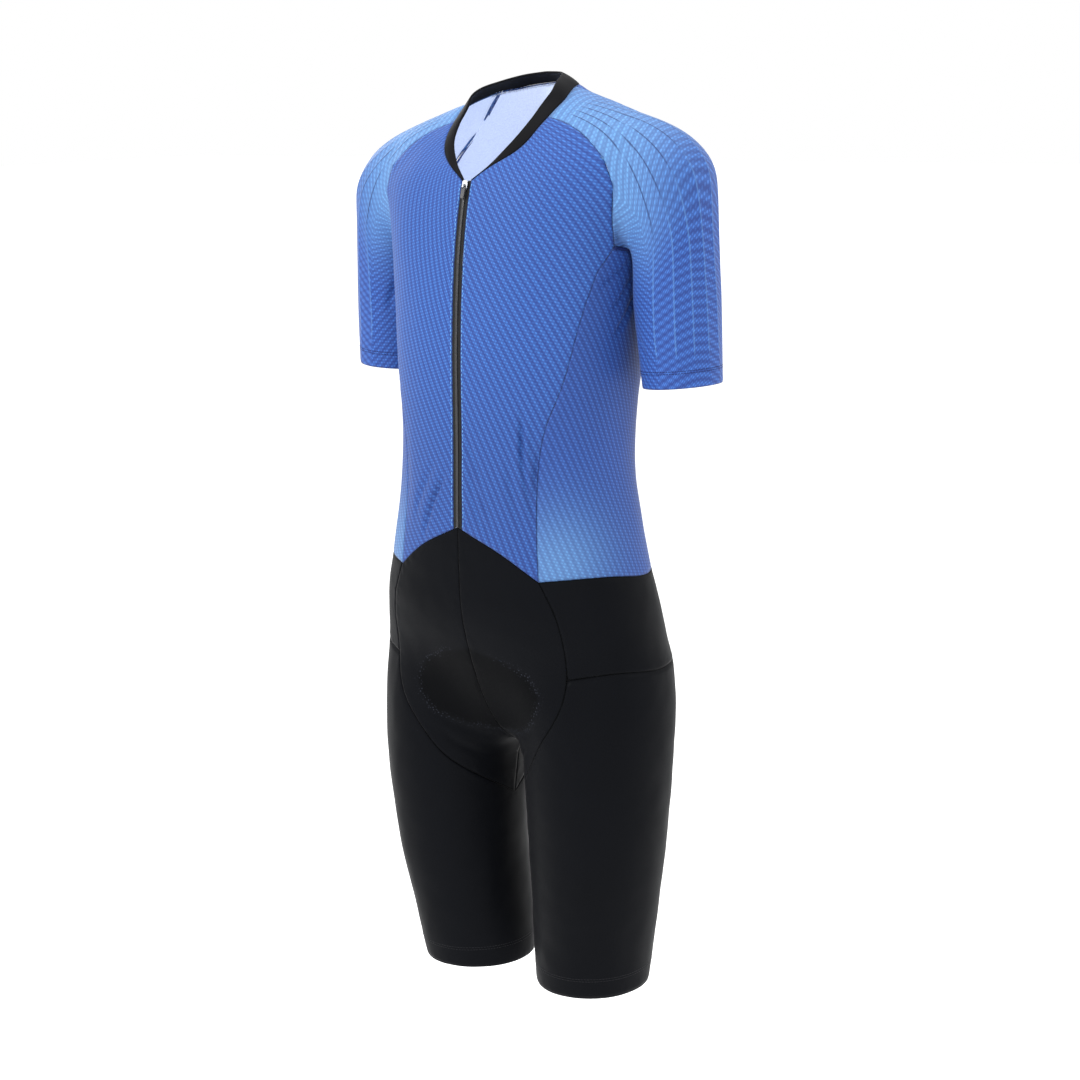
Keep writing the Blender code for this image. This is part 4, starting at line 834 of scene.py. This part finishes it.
# the zip: coil teeth over the chain, its slider and pull tab
chainTree = BVHTree.FromPolygons([Vector(v.co) for v in nodes["zip_chain"].data.vertices],
                                 [p.vertices for p in nodes["zip_chain"].data.polygons])
verts, polygons = [], []
tooth = {"pitch": 0.00125, "half": 0.00042, "reach": 0.00145, "proud": 0.00022, "sunk": -0.0004, "stagger": 0.0001,
         "bottom": -0.4372, "top": -0.0768}
toothRings = ((tooth["sunk"], 1.0, 1.0), (0.4 * tooth["proud"], 1.0, 1.0), (tooth["proud"], 0.55, 0.86))
for index, z in enumerate(np.arange(tooth["bottom"], tooth["top"], tooth["pitch"])):
    spot, facing, _, _ = chainTree.ray_cast(Vector((0.0001, -0.3, z)), Vector((0.0, 1.0, 0.0)))
    if spot is None:
        continue
    spot, facing = np.array(spot), np.array(facing)
    facing = facing if facing[1] < 0 else -facing
    ahead = unit(np.cross((1.0, 0.0, 0.0), facing))
    shift = tooth["stagger"] if index % 2 else -tooth["stagger"]
    base = len(verts)
    for level, width, reach in toothRings:      # height over the chain, and shares of the width and the reach
        for u, v in ((-1, -1), (1, -1), (1, 1), (-1, 1)):
            verts.append(spot * (0, 1, 1) + (shift + u * reach * tooth["reach"]) * np.array([1.0, 0, 0])
                         + v * width * tooth["half"] * ahead + level * facing)
    for level in (0, 4):
        for step in range(4):
            after = (step + 1) % 4
            polygons.append([base + level + step, base + level + after, base + level + 4 + after,
                             base + level + 4 + step])
    polygons.append([base + 8, base + 9, base + 10, base + 11])
addMesh("zip_teeth", verts, polygons, "black_plastic")
for node, look in (("zip_chain", "black_plastic"), ("zip_slider", "slider_metal"), ("zip_pull_tab", "black_plastic")):
    nodes[node].data.materials.clear()
    nodes[node].data.materials.append(looks[look])


def thread(name, spots, details, look):   # a round thread through a line of points
    curve = bpy.data.curves.new(name, "CURVE")
    curve.dimensions = "3D"
    curve.bevel_depth = details["radius"]
    curve.bevel_resolution = details["rounding"]
    curve.use_fill_caps = details["capped"]
    spline = curve.splines.new("POLY")
    spline.points.add(len(spots) - 1)
    for point, spot in zip(spline.points, spots):
        point.co = (*spot, 1.0)
    curve.materials.append(looks[look])
    thing = bpy.data.objects.new(name, curve)
    bpy.context.scene.collection.objects.link(thing)
    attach(thing, "suit")


# overlock row inside the back of the neck, along the lower edge of the band
overlock = {"radius": 0.00050, "rounding": 1, "capped": False, "reach": 74.0, "middle": 0.010,
            "rows": (-0.0004, -0.0030), "lowest": -0.020, "highest": 0.036, "step": 0.0008, "lift": 0.0017}
line = []
for index, angle in enumerate(np.radians(np.arange(-overlock["reach"], overlock["reach"] + 0.1, 1.0))):
    out = (math.sin(angle), math.cos(angle), 0.0)
    for z in np.arange(overlock["lowest"], overlock["highest"], overlock["step"]):
        band = shells["neck_binding"].ray_cast(Vector((0.0, overlock["middle"], z)), Vector(out))
        if band[0] is not None and band[0].y > 0.0:
            place = (0.0, overlock["middle"], z + overlock["rows"][index % 2])
            found = onShell(place, out, list(shells), overlock["lift"])
            if found is not None:
                line.append(found[0])
            break
print("overlock", len(line))
thread("neck_overlock", line, overlock, "white_thread")

# the overlocked seam under each arm, where sleeve and side panel meet
underarm = {"radius": 0.0017, "rounding": 2, "capped": True, "inside": 0.0010,
            "line": ((0.147, -0.040, -0.143), (0.1493, -0.026, -0.1450), (0.1500, -0.015, -0.1475),
                     (0.1502, 0.004, -0.1482), (0.1480, 0.024, -0.1478), (0.1458, 0.035, -0.1462),
                     (0.1440, 0.0435, -0.1420))}
for hand, sign in (("left", 1.0), ("right", -1.0)):
    line = [(sign * (x - underarm["inside"]), y, z) for x, y, z in underarm["line"]]
    thread("underarm_seam_" + hand, line, underarm, "navy_thread")

# the pad inside the shorts
shell = bmesh.new()
shell.from_mesh(nodes["seat_pad"].data)
bmesh.ops.remove_doubles(shell, verts=shell.verts, dist=outside["weld"])
pad = subdivided(shell, "seat_pad_foam", 2)
pad.data.materials.clear()
pad.data.materials.append(looks["pad_foam"])
pad.data.shade_smooth()
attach(pad, "suit")
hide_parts("seat_pad")
for node, thing in cloths.items():
    "flat" in cut[node]
print("zip and pad made")

# studio
studio = {"half": 30.0, "floor": -1.46, "aim": (0.0, 0.0, -0.45), "white": (1.0, 1.0, 1.0, 1.0), "world": 1.0}
floorMesh = bpy.data.meshes.new("floor")
corners = [(x * studio["half"], y * studio["half"], studio["floor"]) for x, y in ((-1, -1), (1, -1), (1, 1), (-1, 1))]
floorMesh.from_pydata(corners, [], [(0, 1, 2, 3)])
floorValues = {"Base Color": (0.92, 0.92, 0.92, 1.0), "Roughness": 0.9, "Emission Color": studio["white"],
               "Emission Strength": 0.35}
floorLook, _, _ = startMaterial("floor_look", floorValues)
floorMesh.materials.append(floorLook)
floor = bpy.data.objects.new("floor", floorMesh)
bpy.context.scene.collection.objects.link(floor)
world = bpy.data.worlds.new("studio")
bpy.context.scene.world = world
world.use_nodes = True
world.node_tree.nodes["Background"].inputs["Color"].default_value = studio["white"]
world.node_tree.nodes["Background"].inputs["Strength"].default_value = studio["world"]
lamps = (                                       # name, place, power in watts and size in metres
    ("key", (-1.2, -2.6, 1.5), 78.0, 1.2),
    ("fill", (1.9, -2.2, 0.4), 16.0, 1.6),
    ("top", (0.3, 0.2, 2.2), 36.0, 1.6),
    ("rim_left", (-2.2, 1.4, 0.6), 18.0, 1.2),
    ("rim_right", (2.3, 1.2, 0.7), 18.0, 1.2),
)
for name, spot, power, size in lamps:
    lamp = bpy.data.lights.new(name, "AREA")
    lamp.energy = power
    lamp.size = size
    thing = bpy.data.objects.new(name, lamp)
    thing.location = spot
    thing.rotation_euler = (Vector(studio["aim"]) - Vector(spot)).to_track_quat("-Z", "Y").to_euler()
    bpy.context.scene.collection.objects.link(thing)
bpy.context.scene.view_settings.view_transform = "Standard"
print("studio made")
